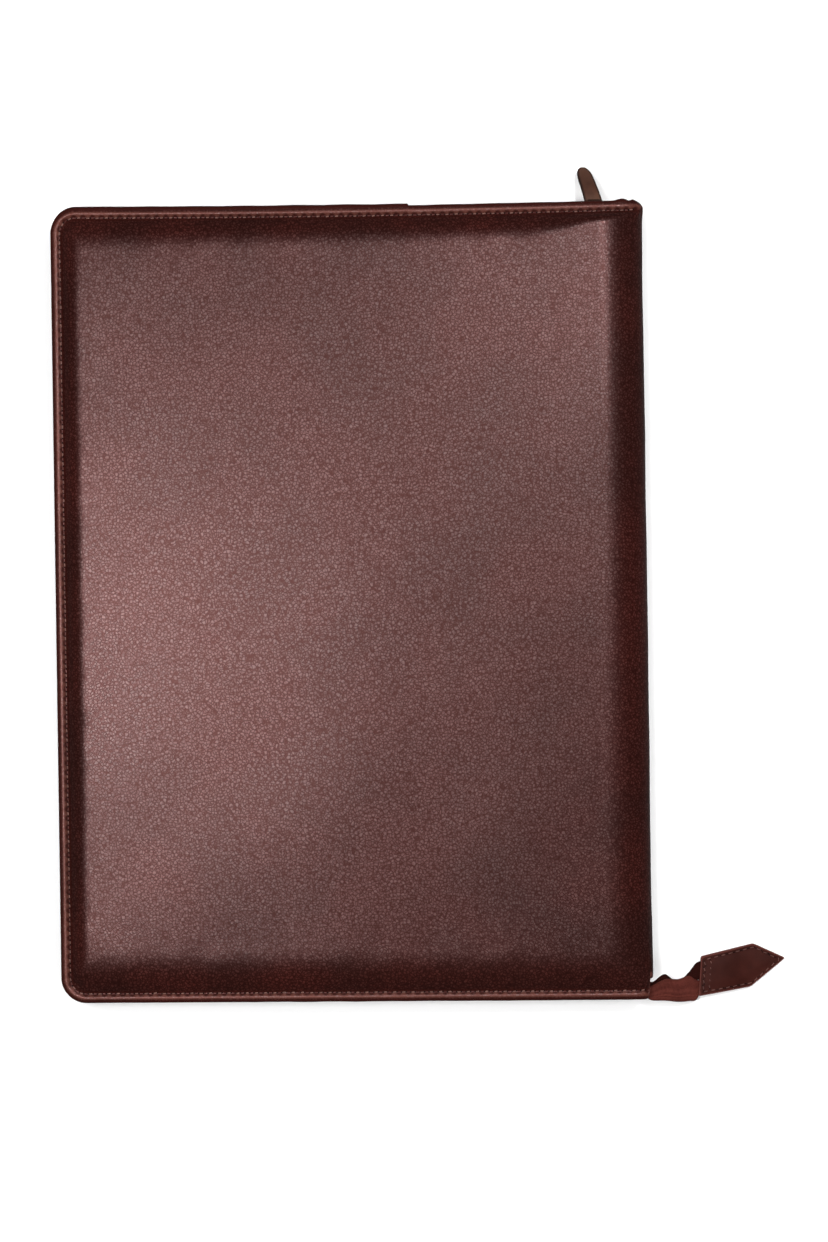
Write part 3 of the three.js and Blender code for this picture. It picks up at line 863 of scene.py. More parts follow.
    def edge_line(self, x: np.ndarray, at: Spots, end: np.ndarray) -> np.ndarray:
        """Returns how far the turned edge stands out: the strip's step and the gathers by the spine.

        Args:
            x: the shaped places across the case.
            at: the places before shaping.
            end: distances from the top or bottom edge, followed round the corners.

        Returns:
            The moves along y.
        """
        at_edge = clamp01(1 - end / (self.border_wall / 2))
        strip = self.strip_step * ease((self.strip_joint - x) / (0.5 * MM)) * ~at.on_spine
        waver = self.waver * smooth_noise(x, np.zeros_like(x), self.waver_pitch, 3)
        gathers = sum(gather.height * bell(x - gather.x, gather.width) for gather in self.gathers)
        beside_spine = ease((x - self.gathers_start) / self.gathers_run)
        top = self.top_allowance + strip + waver + gathers * beside_spine
        return np.where(at.y > 0, at_edge * top, -at_edge * waver)

    def relief(self, at: Spots, near: np.ndarray) -> np.ndarray:
        """Returns the small heights of the panel: stitch groove, puckers, welt and soft unevenness."""
        run = np.where(at.fore < at.end, at.y, at.x)
        groove = -self.groove * bell(at.inset - self.stitch_inset, self.groove_width)
        on_slope = near * (1 - near) * 4 * ease((np.abs(at.fore - at.end) - 2 * MM) / (14 * MM))
        puckers = self.pucker * on_slope * smooth_noise(run, at.inset * 0.35, self.pucker_pitch, 11)
        # The back's unevenness only dips inwards, so that the case lies on its flat face.
        level = np.where(at.turn > 0, 0.0, -1.4)
        soft = self.unevenness * (smooth_noise(at.x, at.y, self.uneven_pitch, 21) + level) * (1 - near)
        welt = self.welt * bell(at.inset - self.border_wall, self.welt_width)
        on_strip = (at.y > 0) & (at.end < self.strip_width) & (at.turn > 0)
        strip = np.where(on_strip, self.strip_height * ease((self.strip_joint - at.x) / MM), 0)
        return groove + puckers + soft + welt + strip

    def spine_relief(self, at: Spots) -> np.ndarray:
        """Returns the small heights of the spine's roll: soft lengthwise creases and gathers at the top."""
        run = np.radians(at.turn) * self.mid
        soft = self.crease * smooth_noise(run * 3, at.y, self.crease_pitch, 31)
        near_top = bell(at.end - self.spine_end_round, self.ruck_reach) * (at.y > 0)
        rucks = self.ruck * np.sin(run / self.ruck_pitch) * near_top
        return (soft + rucks) * ease(at.end / self.spine_end_round)

    def border_run(self, side: Side, inset: float, lift: float = 0.0) -> Placing:
        """Follows the border round three sides, from the spine's top to its bottom.

        Args:
            side: the panel.
            inset: the line's distance from the edge.
            lift: how far the line stands above the leather.

        Returns:
            The points of the line, and the leather's outward normals there.
        """
        half_w, half_l, corner = self.width / 2, self.length / 2, self.corner
        upper = [(self.spine_start, self.width, turn, inset) for turn in np.linspace(44, 90, 12)[:-1]]
        upper += [(x, x + half_w, 90.0, inset) for x in np.linspace(self.spine_start, corner - half_w, 260)]
        upper += [(fore - half_w, fore, 90.0, inset) for fore in np.linspace(corner, inset, 14)[1:]]
        upper += [(inset - half_w, inset, 90.0, end) for end in np.linspace(inset, corner, 14)[1:]]
        rows = [(x, fore, turn, half_l - end, end) for x, fore, turn, end in upper]
        rows += [(inset - half_w, inset, 90.0, y, half_l - abs(y))
                 for y in np.linspace(half_l - corner, corner - half_l, 340)[1:-1]]
        rows += [(x, fore, turn, end - half_l, end) for x, fore, turn, end in upper[::-1]]
        x, fore, turn, y, end = (np.array(column) for column in zip(*rows))
        turn = turn * side.value
        points = self.surface(Spots(x, fore, turn, y, end), 1)
        bent, angle = np.abs(turn) < 89.9, np.radians(turn)
        normals = np.zeros_like(points)
        normals[:, 0] = np.where(bent, np.cos(angle), 0.0)
        normals[:, 2] = np.where(bent, np.sin(angle), side.value)
        return points + normals * lift, normals


@dataclass
class Cover:
    """The one-piece leather cover: front panel, spine and back panel, hollow inside."""

    form: CaseForm
    finish: NappaFinish
    name: str = "cover_leather"
    seam_reach: float = 9.0 * MM
    spine_columns: int = 60
    field_rows: int = 76

    def columns(self) -> tuple[np.ndarray, np.ndarray, np.ndarray]:
        """Returns x, distance from the fore-edge and turn of each column, front to back."""
        form = self.form
        half = form.width / 2
        joint = form.strip_joint + half
        inner = stations((form.border + form.fore_slope, joint - 2 * MM, 32), (joint - 2 * MM, joint + 2 * MM, 14),
                         (joint + 2 * MM, form.spine_start + half, 22))
        fore = np.unique(np.round(np.concatenate([self.edge_insets(form.fore_slope), inner]), 7))
        share = 1 - 2 * np.arange(1, self.spine_columns) / self.spine_columns
        turn = 90 * np.sign(share) * (1 - (1 - np.abs(share)) ** 1.6)
        spine_x, full = np.full(len(turn), form.spine_start), np.full(len(turn), form.width)
        front, back = np.full(len(fore), 90.0), np.full(len(fore), -90.0)
        x = fore - half
        return (np.concatenate([x, spine_x, x[::-1]]), np.concatenate([fore, full, fore[::-1]]),
                np.concatenate([front, turn, back]))

    def edge_insets(self, slope: float) -> np.ndarray:
        """Returns distances from an edge, close together over the rolled edge and the slope."""
        border, roll = self.form.border, self.form.border_wall / 2
        slope_steps = max(12, round(slope / (0.95 * MM)))
        return stations((0.0, 0.3 * roll, 3), (0.3 * roll, roll, 3), (roll, border, 7),
                        (border, border + slope, slope_steps))

    def rows(self) -> tuple[np.ndarray, np.ndarray]:
        """Returns y and the distance from the nearest end of each row, bottom to top."""
        half = self.form.length / 2
        bottom = self.edge_insets(self.form.bottom_slope) - half
        top = half - self.edge_insets(self.form.top_slope)[::-1]
        y = np.concatenate([bottom, np.linspace(bottom[-1], top[0], self.field_rows)[1:-1], top])
        return y, half - np.abs(y)

    def build(self) -> bpy.types.Object:
        """Returns the closed leather shell, with its edge distances and stitch counts for the finish."""
        columns, rows = self.columns(), self.rows()
        shape = (len(columns[0]), len(rows[0]))
        spots = Spots(*(np.broadcast_to(item[:, None], shape) for item in columns),
                      *(np.broadcast_to(item[None, :], shape) for item in rows))
        layers = [self.form.surface(spots, layer).reshape(-1, 3) for layer in (1, -1)]
        count = shape[0] * shape[1]
        numbers = np.arange(count).reshape(shape)
        outer = np.stack([numbers[:-1, :-1], numbers[1:, :-1], numbers[1:, 1:], numbers[:-1, 1:]],
                         axis=-1).reshape(-1, 4)
        loop = np.concatenate([numbers[:-1, 0], numbers[-1, :-1], numbers[:0:-1, -1], numbers[0, :0:-1]])
        ahead = np.roll(loop, -1)
        rim = np.stack([ahead, loop, loop + count, ahead + count], axis=-1)
        faces = np.concatenate([outer, outer[:, ::-1] + count, rim])
        piece = mesh_piece(self.name, np.concatenate(layers), faces.tolist())
        inset = spots.inset.reshape(-1)
        seam = self.seam_counts(layers[0], inset, spots.turn.reshape(-1))
        for name, values in (("inset", inset), ("seam", seam)):
            point_values(piece, name, np.concatenate([values, values]))
        weld(piece, 0.02 * MM)
        piece.data.materials.append(self.finish.material())
        return piece

    def seam_counts(self, points: np.ndarray, inset: np.ndarray, turn: np.ndarray) -> np.ndarray:
        """Counts the stitches along the seam up to each point near the border.

        Args:
            points: the leather's outer points.
            inset: their distances from the edge.
            turn: 90 on the front to -90 on the back.

        Returns:
            The counts, with their fractions.
        """
        counts = np.zeros(len(points))
        for side in Side:
            seam = Track(self.form.border_run(side, self.form.stitch_inset)[0])
            pitch = seam.total / seam.count(self.form.stitch_pitch)
            ahead = seam.steps / seam.lengths[:, None]
            for index in np.flatnonzero((inset < self.seam_reach) & (turn * side.value > 0)):
                offsets = points[index] - seam.points[:-1]
                near = int(np.argmin((offsets**2).sum(axis=1)))
                counts[index] = (seam.run[near] + offsets[near] @ ahead[near]) / pitch
        return counts


@dataclass
class StitchRun:
    """A line of single thread stitches along a path, with dark cones of painted shade at their needle holes."""

    name: str
    finish: ThreadFinish
    length: float = 1.8 * MM
    radius: float = 0.26 * MM
    pitch: float = 4.0 * MM
    slant: float = 9.0
    hole_sides: int = 8
    hole_size: float = 1.7
    hole_place: float = 0.56
    hole_base: float = 0.02 * MM
    hole_top: float = 0.12 * MM

    def stitch(self) -> Shape:
        """Returns the points and faces of one stitch: a bowed thread that dips at both ends."""
        free_selection()
        bpy.ops.mesh.primitive_cylinder_add(vertices=6, radius=self.radius, depth=self.length, end_fill_type="TRIFAN",
                                            rotation=(0, math.pi / 2, 0))
        piece = bpy.context.object
        bpy.ops.object.transform_apply(location=True, rotation=True, scale=True)
        with editing(piece):
            cut_across([share * self.length for share in (-0.32, -0.12, 0.12, 0.32)], 0)
        points, faces = taken_apart(piece)
        share = np.abs(points[:, 0]) / (self.length / 2)
        points[:, 1:] *= (1 - 0.55 * share**3)[:, None]
        points[:, 2] += self.radius * (0.45 - 1.5 * share**2.5)
        return points, faces

    def hole(self) -> Shape:
        """Returns the points and faces of one needle hole: a low dark cone of painted shade."""
        sides = self.hole_sides
        angles = np.linspace(0, 2 * math.pi, sides + 1)[:-1]
        size = self.hole_size * self.radius
        ring = np.stack([np.cos(angles) * size, np.sin(angles) * size, np.full(sides, self.hole_base)], axis=-1)
        faces = [(i, (i + 1) % sides, sides) for i in range(sides)]
        return np.vstack([ring, [[0, 0, self.hole_top]]]), [*faces, tuple(range(sides))[::-1]]

    def placings(self, path: np.ndarray, normals: np.ndarray, fade: float) -> list[Placing]:
        """Spreads the stitches evenly over a path.

        Args:
            path: points along the seam.
            normals: the leather's outward normals there.
            fade: how unevenly the stitches sit, in metres.

        Returns:
            The centre and the axes of every stitch, the axes being along, across and up.
        """
        track = Track(path)
        count = track.count(self.pitch)
        draw = np.random.default_rng(5)
        placings = []
        for index in range(count):
            here = (index + 0.5) * track.total / count
            along = track.ahead(here, self.length * 0.5)
            up = track.read(here, normals)
            up -= along * (up @ along)
            up /= np.linalg.norm(up)
            side = np.cross(up, along)
            turn = math.radians(self.slant + draw.normal(0, 3))
            turned = along * math.cos(turn) + side * math.sin(turn)
            offset = draw.normal(0, fade) if fade else 0.0
            placings.append((track.at(here) + side * offset, np.stack([turned, np.cross(up, turned), up])))
        return placings

    def build(self, path: np.ndarray, normals: np.ndarray, fade: float = 0.0) -> list[bpy.types.Object]:
        """Lays stitches at an even pitch along a path.

        Args:
            path: points along the seam.
            normals: the leather's outward normals there.
            fade: how unevenly the stitches sit, in metres.

        Returns:
            All stitches as one mesh, and the painted shade of their needle holes as another.
        """
        placings = self.placings(path, normals, fade)
        thread = repeated(self.name, self.stitch(), placings)
        weld(thread)
        thread.data.materials.append(self.finish.material())
        # Each stitch end gets a low dark cone: painted shade for its needle hole.
        ends = [(centre + end * self.length * axes[0], axes)
                for centre, axes in placings for end in (-self.hole_place, self.hole_place)]
        holes = repeated(f"{self.name}_holes", self.hole(), ends)
        shade = HoleShadeFinish(f"{self.name}_shade", colour(14, 6, 5), colour(30, 12, 10))
        holes.data.materials.append(shade.material())
        return [thread, holes]


@dataclass(frozen=True)
class TailRow:
    """The zip's line at one place along the tail, as shares of the tail's sizes."""

    along: float
    lift: float
    height: float


@dataclass(frozen=True)
class HalfRow:
    """How one tape half lies at a row: angles in degrees, lengths as shares of its width."""

    splay: float
    gap: float
    root_turn: float
    root: float
    tip_turn: float
    tip: float


@dataclass(frozen=True)
class TapeHalf:
    """One of the zip's two woven tapes, and how it lies along the tail."""

    node: str
    piece: str
    side: Side
    rows: tuple[HalfRow, ...]


TAIL_LINE = (
    TailRow(-0.3, 0.0, 1.0),
    TailRow(-0.15, 0.0, 1.0),
    TailRow(0.0, 0.08, 0.98),
    TailRow(0.275, 0.35, 0.9),
    TailRow(0.55, 0.31, 0.72),
    TailRow(0.8, 0.42, 0.48),
    TailRow(0.96, 0.2, 0.33),
)

FRONT_TAPE = TapeHalf("zip_tape_front", "tape_front_weave", Side.FRONT, (
    HalfRow(90, 0.32, 90, 0.1, 30, 0.3),
    HalfRow(50, 0.12, 45, 0.28, 20, 0.1),
    HalfRow(-84, 0.16, 55, 0.22, -10, 0.05),
    HalfRow(-126, 0.19, 15, 0.31, -71, 0.12),
    HalfRow(-117, 0.16, -95, 0.21, -143, 0.27),
    HalfRow(-120, 0.16, -3, 0.2, -22, 0.07),
    HalfRow(-60, 0.05, 3, 0.42, 3, 0.42),
))

BACK_TAPE = TapeHalf("zip_tape_back", "tape_back_weave", Side.BACK, (
    HalfRow(-100, 0.32, -160, 0.3, -170, 0.1),
    HalfRow(-130, 0.12, -150, 0.45, -165, 0.1),
    HalfRow(0, 0.02, -160, 0.47, -170, 0.36),
    HalfRow(0, 0.02, -165, 0.5, -172, 0.62),
    HalfRow(0, 0.03, -174, 0.6, -178, 0.56),
    HalfRow(0, 0.04, -180, 0.66, -180, 0.62),
    HalfRow(0, 0.04, -180, 0.52, -180, 0.5),
))


@dataclass
class TabForm:
    """The end tab's place and outline."""

    form: CaseForm
    length: float = 38.5 * MM
    shoulder: float = 23.5 * MM
    root_width: float = 16.6 * MM
    shoulder_width: float = 18.1 * MM
    shear: float = 0.28
    turn: float = 11.0
    tilt: float = 3.0
    layer: float = 1.2 * MM
    overlap: float = 10.0 * MM
    ramp: float = 14.0 * MM
    rest_clearance: float = 0.2 * MM
    root_offset: float = 21.05 * MM
    centre_lift: float = 3.55 * MM
    gap: float = 0.3 * MM
    tape: float = 0.8 * MM

    @property
    def point_slope(self) -> float:
        """Returns how fast the arrow's point narrows on each side."""
        return self.shoulder_width / 2 / (self.length - self.shoulder)

    def place(self, along: np.ndarray, across: np.ndarray, up: np.ndarray) -> np.ndarray:
        """Puts points of the tab in their place.

        Args:
            along: distances from the tab's root towards its tip.
            across: distances from its middle line.
            up: heights above its lower face.

        Returns:
            One row of x, y and z per point.
        """
        leaning = along + self.shear * across
        turn, tilt = math.radians(self.turn), math.radians(self.tilt)
        flat = leaning * math.cos(tilt)
        line_y = self.form.zip_inset - self.form.length / 2
        x = self.form.width / 2 + self.root_offset + flat * math.cos(turn) - across * math.sin(turn)
        y = line_y + self.centre_lift + flat * math.sin(turn) + across * math.cos(turn)
        z = self.rest_clearance + (self.length - leaning) * math.sin(tilt) + up
        return np.stack([x, self.form.settle(x, y), z], axis=-1)

    def upper_floor(self, along: np.ndarray) -> np.ndarray:
        """Returns the upper layer's lower face, which steps down past the tape's end."""
        over = ease((self.overlap + self.ramp - along) / self.ramp)
        return self.layer + self.gap + over * (self.tape + self.gap)

    def outline(self, inset: float) -> np.ndarray:
        """Returns the arrow's outline moved inwards, as along and across pairs."""
        root, shoulder, slope = self.root_width / 2, self.shoulder_width / 2, self.point_slope
        tip = self.length - inset * math.hypot(1, slope) / slope
        bend = self.shoulder + inset * (math.hypot(1, slope) - 1) / slope
        return np.array([[inset, inset - root], [bend, inset - shoulder], [tip, 0.0], [bend, shoulder - inset],
                         [inset, root - inset]])

    def edge_distance(self, along: np.ndarray, across: np.ndarray) -> np.ndarray:
        """Returns how far points of the tab lie inside its outline."""
        root, slope = self.root_width / 2, self.point_slope
        widening = (self.shoulder_width / 2 - root) / self.shoulder
        side = root + widening * along - np.abs(across)
        point = ((self.length - along) * slope - np.abs(across)) / math.hypot(1, slope)
        return np.maximum(np.minimum(np.minimum(side, point), along), 0.0)


@dataclass
class ZipForm:
    """The zip's sections: a tape under each border, folded in to the teeth."""

    form: CaseForm
    tab: TabForm
    tape: float = 0.8 * MM
    flange: float = 6.3 * MM
    fold_inset: float = 2.2 * MM
    teeth_height: float = 6.0 * MM
    gap: float = 0.3 * MM
    top_end: float = 11.0 * MM
    tail_start: float = 10.0 * MM
    tail_length: float = 20.2 * MM
    tail_width: float = 8.6 * MM
    tab_entry: float = 1.5 * MM
    tab_margin: float = 1.0 * MM

    def path(self, start_x: float, end_x: float, spacing: float) -> list[tuple[float, float, float, float]]:
        """Follows the case's edge round three sides.

        Args:
            start_x: where it starts on the top edge.
            end_x: where it ends on the bottom edge.
            spacing: the distance between places on the straight parts.

        Returns:
            The x, y and outward direction of each place.
        """
        form = self.form
        half_w, half_l = form.width / 2, form.length / 2
        corner_x, corner_y = form.corner - half_w, half_l - form.corner

        def spaced(start: float, end: float) -> np.ndarray:
            """Returns places on a straight part."""
            return np.linspace(start, end, round(abs(end - start) / spacing))

        def arc(start: int, y: float) -> list[tuple[float, float, float, float]]:
            """Returns the places round a corner."""
            angles = np.radians(np.linspace(start, start + 90, 15))
            return [(corner_x + form.corner * c, y + form.corner * s, c, s)
                    for c, s in zip(np.cos(angles), np.sin(angles))]

        return [*((x, half_l, 0.0, 1.0) for x in spaced(start_x, corner_x)[:-1]), *arc(90, corner_y),
                *((-half_w, y, -1.0, 0.0) for y in spaced(corner_y, -corner_y)[1:-1]), *arc(180, -corner_y),
                *((x, -half_l, 0.0, -1.0) for x in spaced(corner_x, end_x)[1:])]

    def located(self, row: tuple[float, float, float, float], inset: np.ndarray, height: np.ndarray,
                base: float) -> np.ndarray:
        """Returns the points of a section at a place on the path.

        Args:
            row: the place's x, y and outward direction.
            inset: the points' distances inwards from it.
            height: their heights above the base.
            base: the height of the zip's line.

        Returns:
            One row of x, y and z per point.
        """
        x, y = row[0] - row[2] * inset, row[1] - row[3] * inset
        return np.stack([x, self.form.settle(x, y), base + height], axis=-1)


@dataclass
class ZipTape:
    """One woven tape: sewn under its border, and running on into the tail."""

    zip_form: ZipForm
    half: TapeHalf
    finish: TapeFinish
    points_across: int = 13
    fold_points: int = 5
    steps: int = 7

    def bent_line(self, corners: np.ndarray, softness: float) -> np.ndarray:
        """Returns a smooth line through a section's start and end, rounded at its fold.

        Args:
            corners: start, fold and end of the section.
            softness: share of each arm taken up by the rounded fold.

        Returns:
            The points along the line.
        """
        start, fold, end = corners
        enter, leave = blend(fold, start, softness), blend(fold, end, softness)
        shares = np.linspace(0, 1, (self.points_across - self.fold_points) // 2 + 1)
        bend = [(1 - t) ** 2 * enter + 2 * t * (1 - t) * fold + t**2 * leave
                for t in np.linspace(0, 1, self.fold_points)]
        return np.array([*(blend(start, enter, share) for share in shares[:-1]), *bend,
                         *(blend(leave, end, share) for share in shares[1:])])

    def ribbon(self, line: np.ndarray) -> np.ndarray:
        """Returns the closed outline of the tape's thickness round a line."""
        ahead = np.gradient(line, axis=0)
        ahead /= np.maximum(np.linalg.norm(ahead, axis=1), 1e-9)[:, None]
        side = np.stack([-ahead[:, 1], ahead[:, 0]], axis=-1) * self.zip_form.tape / 2
        return np.concatenate([line + side, (line - side)[::-1]])

    def gusset_line(self) -> np.ndarray:
        """Returns the line of the tape between the covers."""
        zf, side, line_inset = self.zip_form, self.half.side.value, self.zip_form.form.zip_inset
        flange_height = side * (zf.form.border_inner - zf.gap - zf.tape / 2)
        tooth_edge = side * (zf.teeth_height / 2 + zf.gap + zf.tape * 0.4)
        corners = np.array([[line_inset, tooth_edge], [zf.fold_inset, flange_height],
                            [zf.fold_inset + zf.flange, flange_height]])
        return self.bent_line(corners, 0.3)

    def tail_line(self, row: HalfRow) -> np.ndarray:
        """Returns the line of the tape at a row of the tail."""
        def step(origin: np.ndarray, degrees: float, share: float) -> np.ndarray:
            """Returns the point a share of the width away."""
            angle = math.radians(degrees)
            return origin + self.zip_form.tail_width * share * np.array([math.cos(angle), math.sin(angle)])

        start = step(np.zeros(2), row.splay, row.gap)
        fold = step(start, row.root_turn, row.root)
        return self.bent_line(np.array([start, fold, step(fold, row.tip_turn, row.tip)]), 0.75)

    def tab_row(self, along: float) -> tuple[np.ndarray, tuple[float, float, float]]:
        """Returns the line and the place of the tape's end between the tab's layers."""
        zf, side = self.zip_form, self.half.side.value
        shift = 0.2 * zf.tail_width
        reach = zf.tab.root_width / 2 - 1.8 * MM + side * shift
        up = zf.tab.layer + zf.gap + zf.tape / 2
        x, y, z = zf.tab.place(np.array(along), np.array(0.0), np.array(up))
        line = np.array([[side * share * reach, 0.0] for share in (0.04, 0.5, 1.0)])
        return self.bent_line(line, 0.5), (float(x), float(y + zf.form.taper / 2 - shift), float(z))

    def sections(self) -> list[np.ndarray]:
        """Returns the tape's sections as rings of points."""
        zf, form = self.zip_form, self.zip_form.form
        half_w, half_l = form.width / 2, form.length / 2
        gusset = self.gusset_line()
        flat = self.ribbon(gusset)
        path = zf.path(half_w - zf.top_end, half_w - zf.tail_start, 4 * MM)
        tail = [(gusset, (half_w - zf.tail_start, -half_l, form.mid))]
        for place, row in zip(TAIL_LINE, self.half.rows):
            y = form.zip_inset - half_l + zf.tail_width * place.lift
            tail.append((self.tail_line(row), (half_w + zf.tail_length * place.along, y, form.mid * place.height)))
        tail.extend(self.tab_row(along) for along in (zf.tab_entry, zf.tab.overlap - zf.tab_margin))
        return [*(zf.located(row, flat[:, 0], flat[:, 1], form.mid) for row in path), *self.interpolated(tail)]

    def interpolated(self, rows: list[tuple[np.ndarray, tuple[float, float, float]]]) -> list[np.ndarray]:
        """Returns rings between the tail's rows, on smooth curves through their lines and places."""
        stacked = np.array([np.vstack([line, [[x, y], [z, 0.0]]]) for line, (x, y, z) in rows])
        rings = []
        last = len(stacked) - 1
        for index in range(last):
            before, after = stacked[max(index - 1, 0)], stacked[min(index + 2, last)]
            here, there = stacked[index], stacked[index + 1]
            for t in np.arange(1, self.steps + 1) / self.steps:
                mixed = 0.5 * (2 * here + (there - before) * t
                               + (2 * before - 5 * here + 4 * there - after) * t**2
                               + (3 * here - before - 3 * there + after) * t**3)
                flat = self.ribbon(mixed[:-2])
                (x, y), base = mixed[-2], mixed[-1][0]
                if index == 0:
                    y = blend(-self.zip_form.form.length / 2, y, t)
                rings.append(self.zip_form.located((x, y, 0.0, -1.0), flat[:, 0], flat[:, 1], base))
        return rings

    def build(self) -> bpy.types.Object:
        """Returns the tape as a closed ribbon with a UV map in metres."""
        rings = self.sections()
        count, half = len(rings[0]), len(rings[0]) // 2
        faces = tube_faces(len(rings), count)
        for base in (0, (len(rings) - 1) * count):
            faces.extend([base + i, base + i + 1, base + count - 2 - i, base + count - 1 - i]
                         for i in range(half - 1))
        piece = mesh_piece(self.half.piece, np.concatenate(rings), faces)
        run = Track(np.array([ring.mean(axis=0) for ring in rings])).run
        around = Track(rings[0]).run
        vertex = np.empty(len(piece.data.loops), dtype=np.int32)
        piece.data.loops.foreach_get("vertex_index", vertex)
        ring, place = np.divmod(vertex, count)
        across = around[np.where(place < half, place, count - 1 - place)]
        layer = piece.data.uv_layers.new(name="weave")
        layer.data.foreach_set("uv", np.stack([run[ring], across], axis=-1).ravel())
        with editing(piece):
            bpy.ops.mesh.normals_make_consistent(inside=False)
        piece.data.materials.append(self.finish.material())
        return piece


@dataclass
class ZipTeeth:
    """The closed row of teeth, alternately from the front tape and the back tape."""

    zip_form: ZipForm
    finish: TeethFinish
    slider_x: float
    slider_length: float
    name: str = "zip_teeth"
    pitch: float = 1.55 * MM
    thickness: float = 2.1 * MM
    slider_cover: float = 1.8 * MM
    levels: tuple[float, ...] = (0.0, 0.42, 0.72, 1.0)
    widths: tuple[float, ...] = (0.62, 0.5, 0.82, 0.55)
    depths: tuple[float, ...] = (1.0, 0.96, 0.96, 0.7)

    def tooth(self) -> Shape:
        """Returns one tooth: a stem from the tape's edge with a broader head past the middle."""
        free_selection()
        bpy.ops.mesh.primitive_cube_add(size=1.0, location=(0, 0, 0.5))
        piece = bpy.context.object
        with editing(piece):
            cut_across(self.levels[1:-1], 2)
        points, faces = taken_apart(piece)
        level = points[:, 2].copy()
        points[:, 0] *= np.interp(level, self.levels, self.widths) * self.pitch * 1.25
        points[:, 1] *= np.interp(level, self.levels, self.depths) * self.thickness
        points[:, 2] = self.zip_form.teeth_height * (0.5 - 0.62 * level)
        return points, faces

    def build(self) -> bpy.types.Object:
        """Returns all teeth along the zip's line as one mesh."""
        zf = self.zip_form
        start = self.slider_x + self.slider_length / 2 - self.slider_cover
        path = zf.path(start, zf.form.width / 2 - zf.tail_start, 2 * MM)
        inset, level = np.array(zf.form.zip_inset), np.array(0.0)
        track = Track(np.array([zf.located(row, inset, level, zf.form.mid) for row in path]))
        count = int(track.total / self.pitch)
        placings = []
        for index in range(count):
            here = (index + 0.5) * track.total / count
            along = track.ahead(here, MM)
            up = np.array([0.0, 0.0, 1.0 if index % 2 else -1.0])
            placings.append((track.at(here), np.stack([along, np.cross(up, along), up])))
        piece = repeated(self.name, self.tooth(), placings)
        weld(piece)
        shade_by_angle(piece, 35)
        piece.data.materials.append(self.finish.material())
        return piece


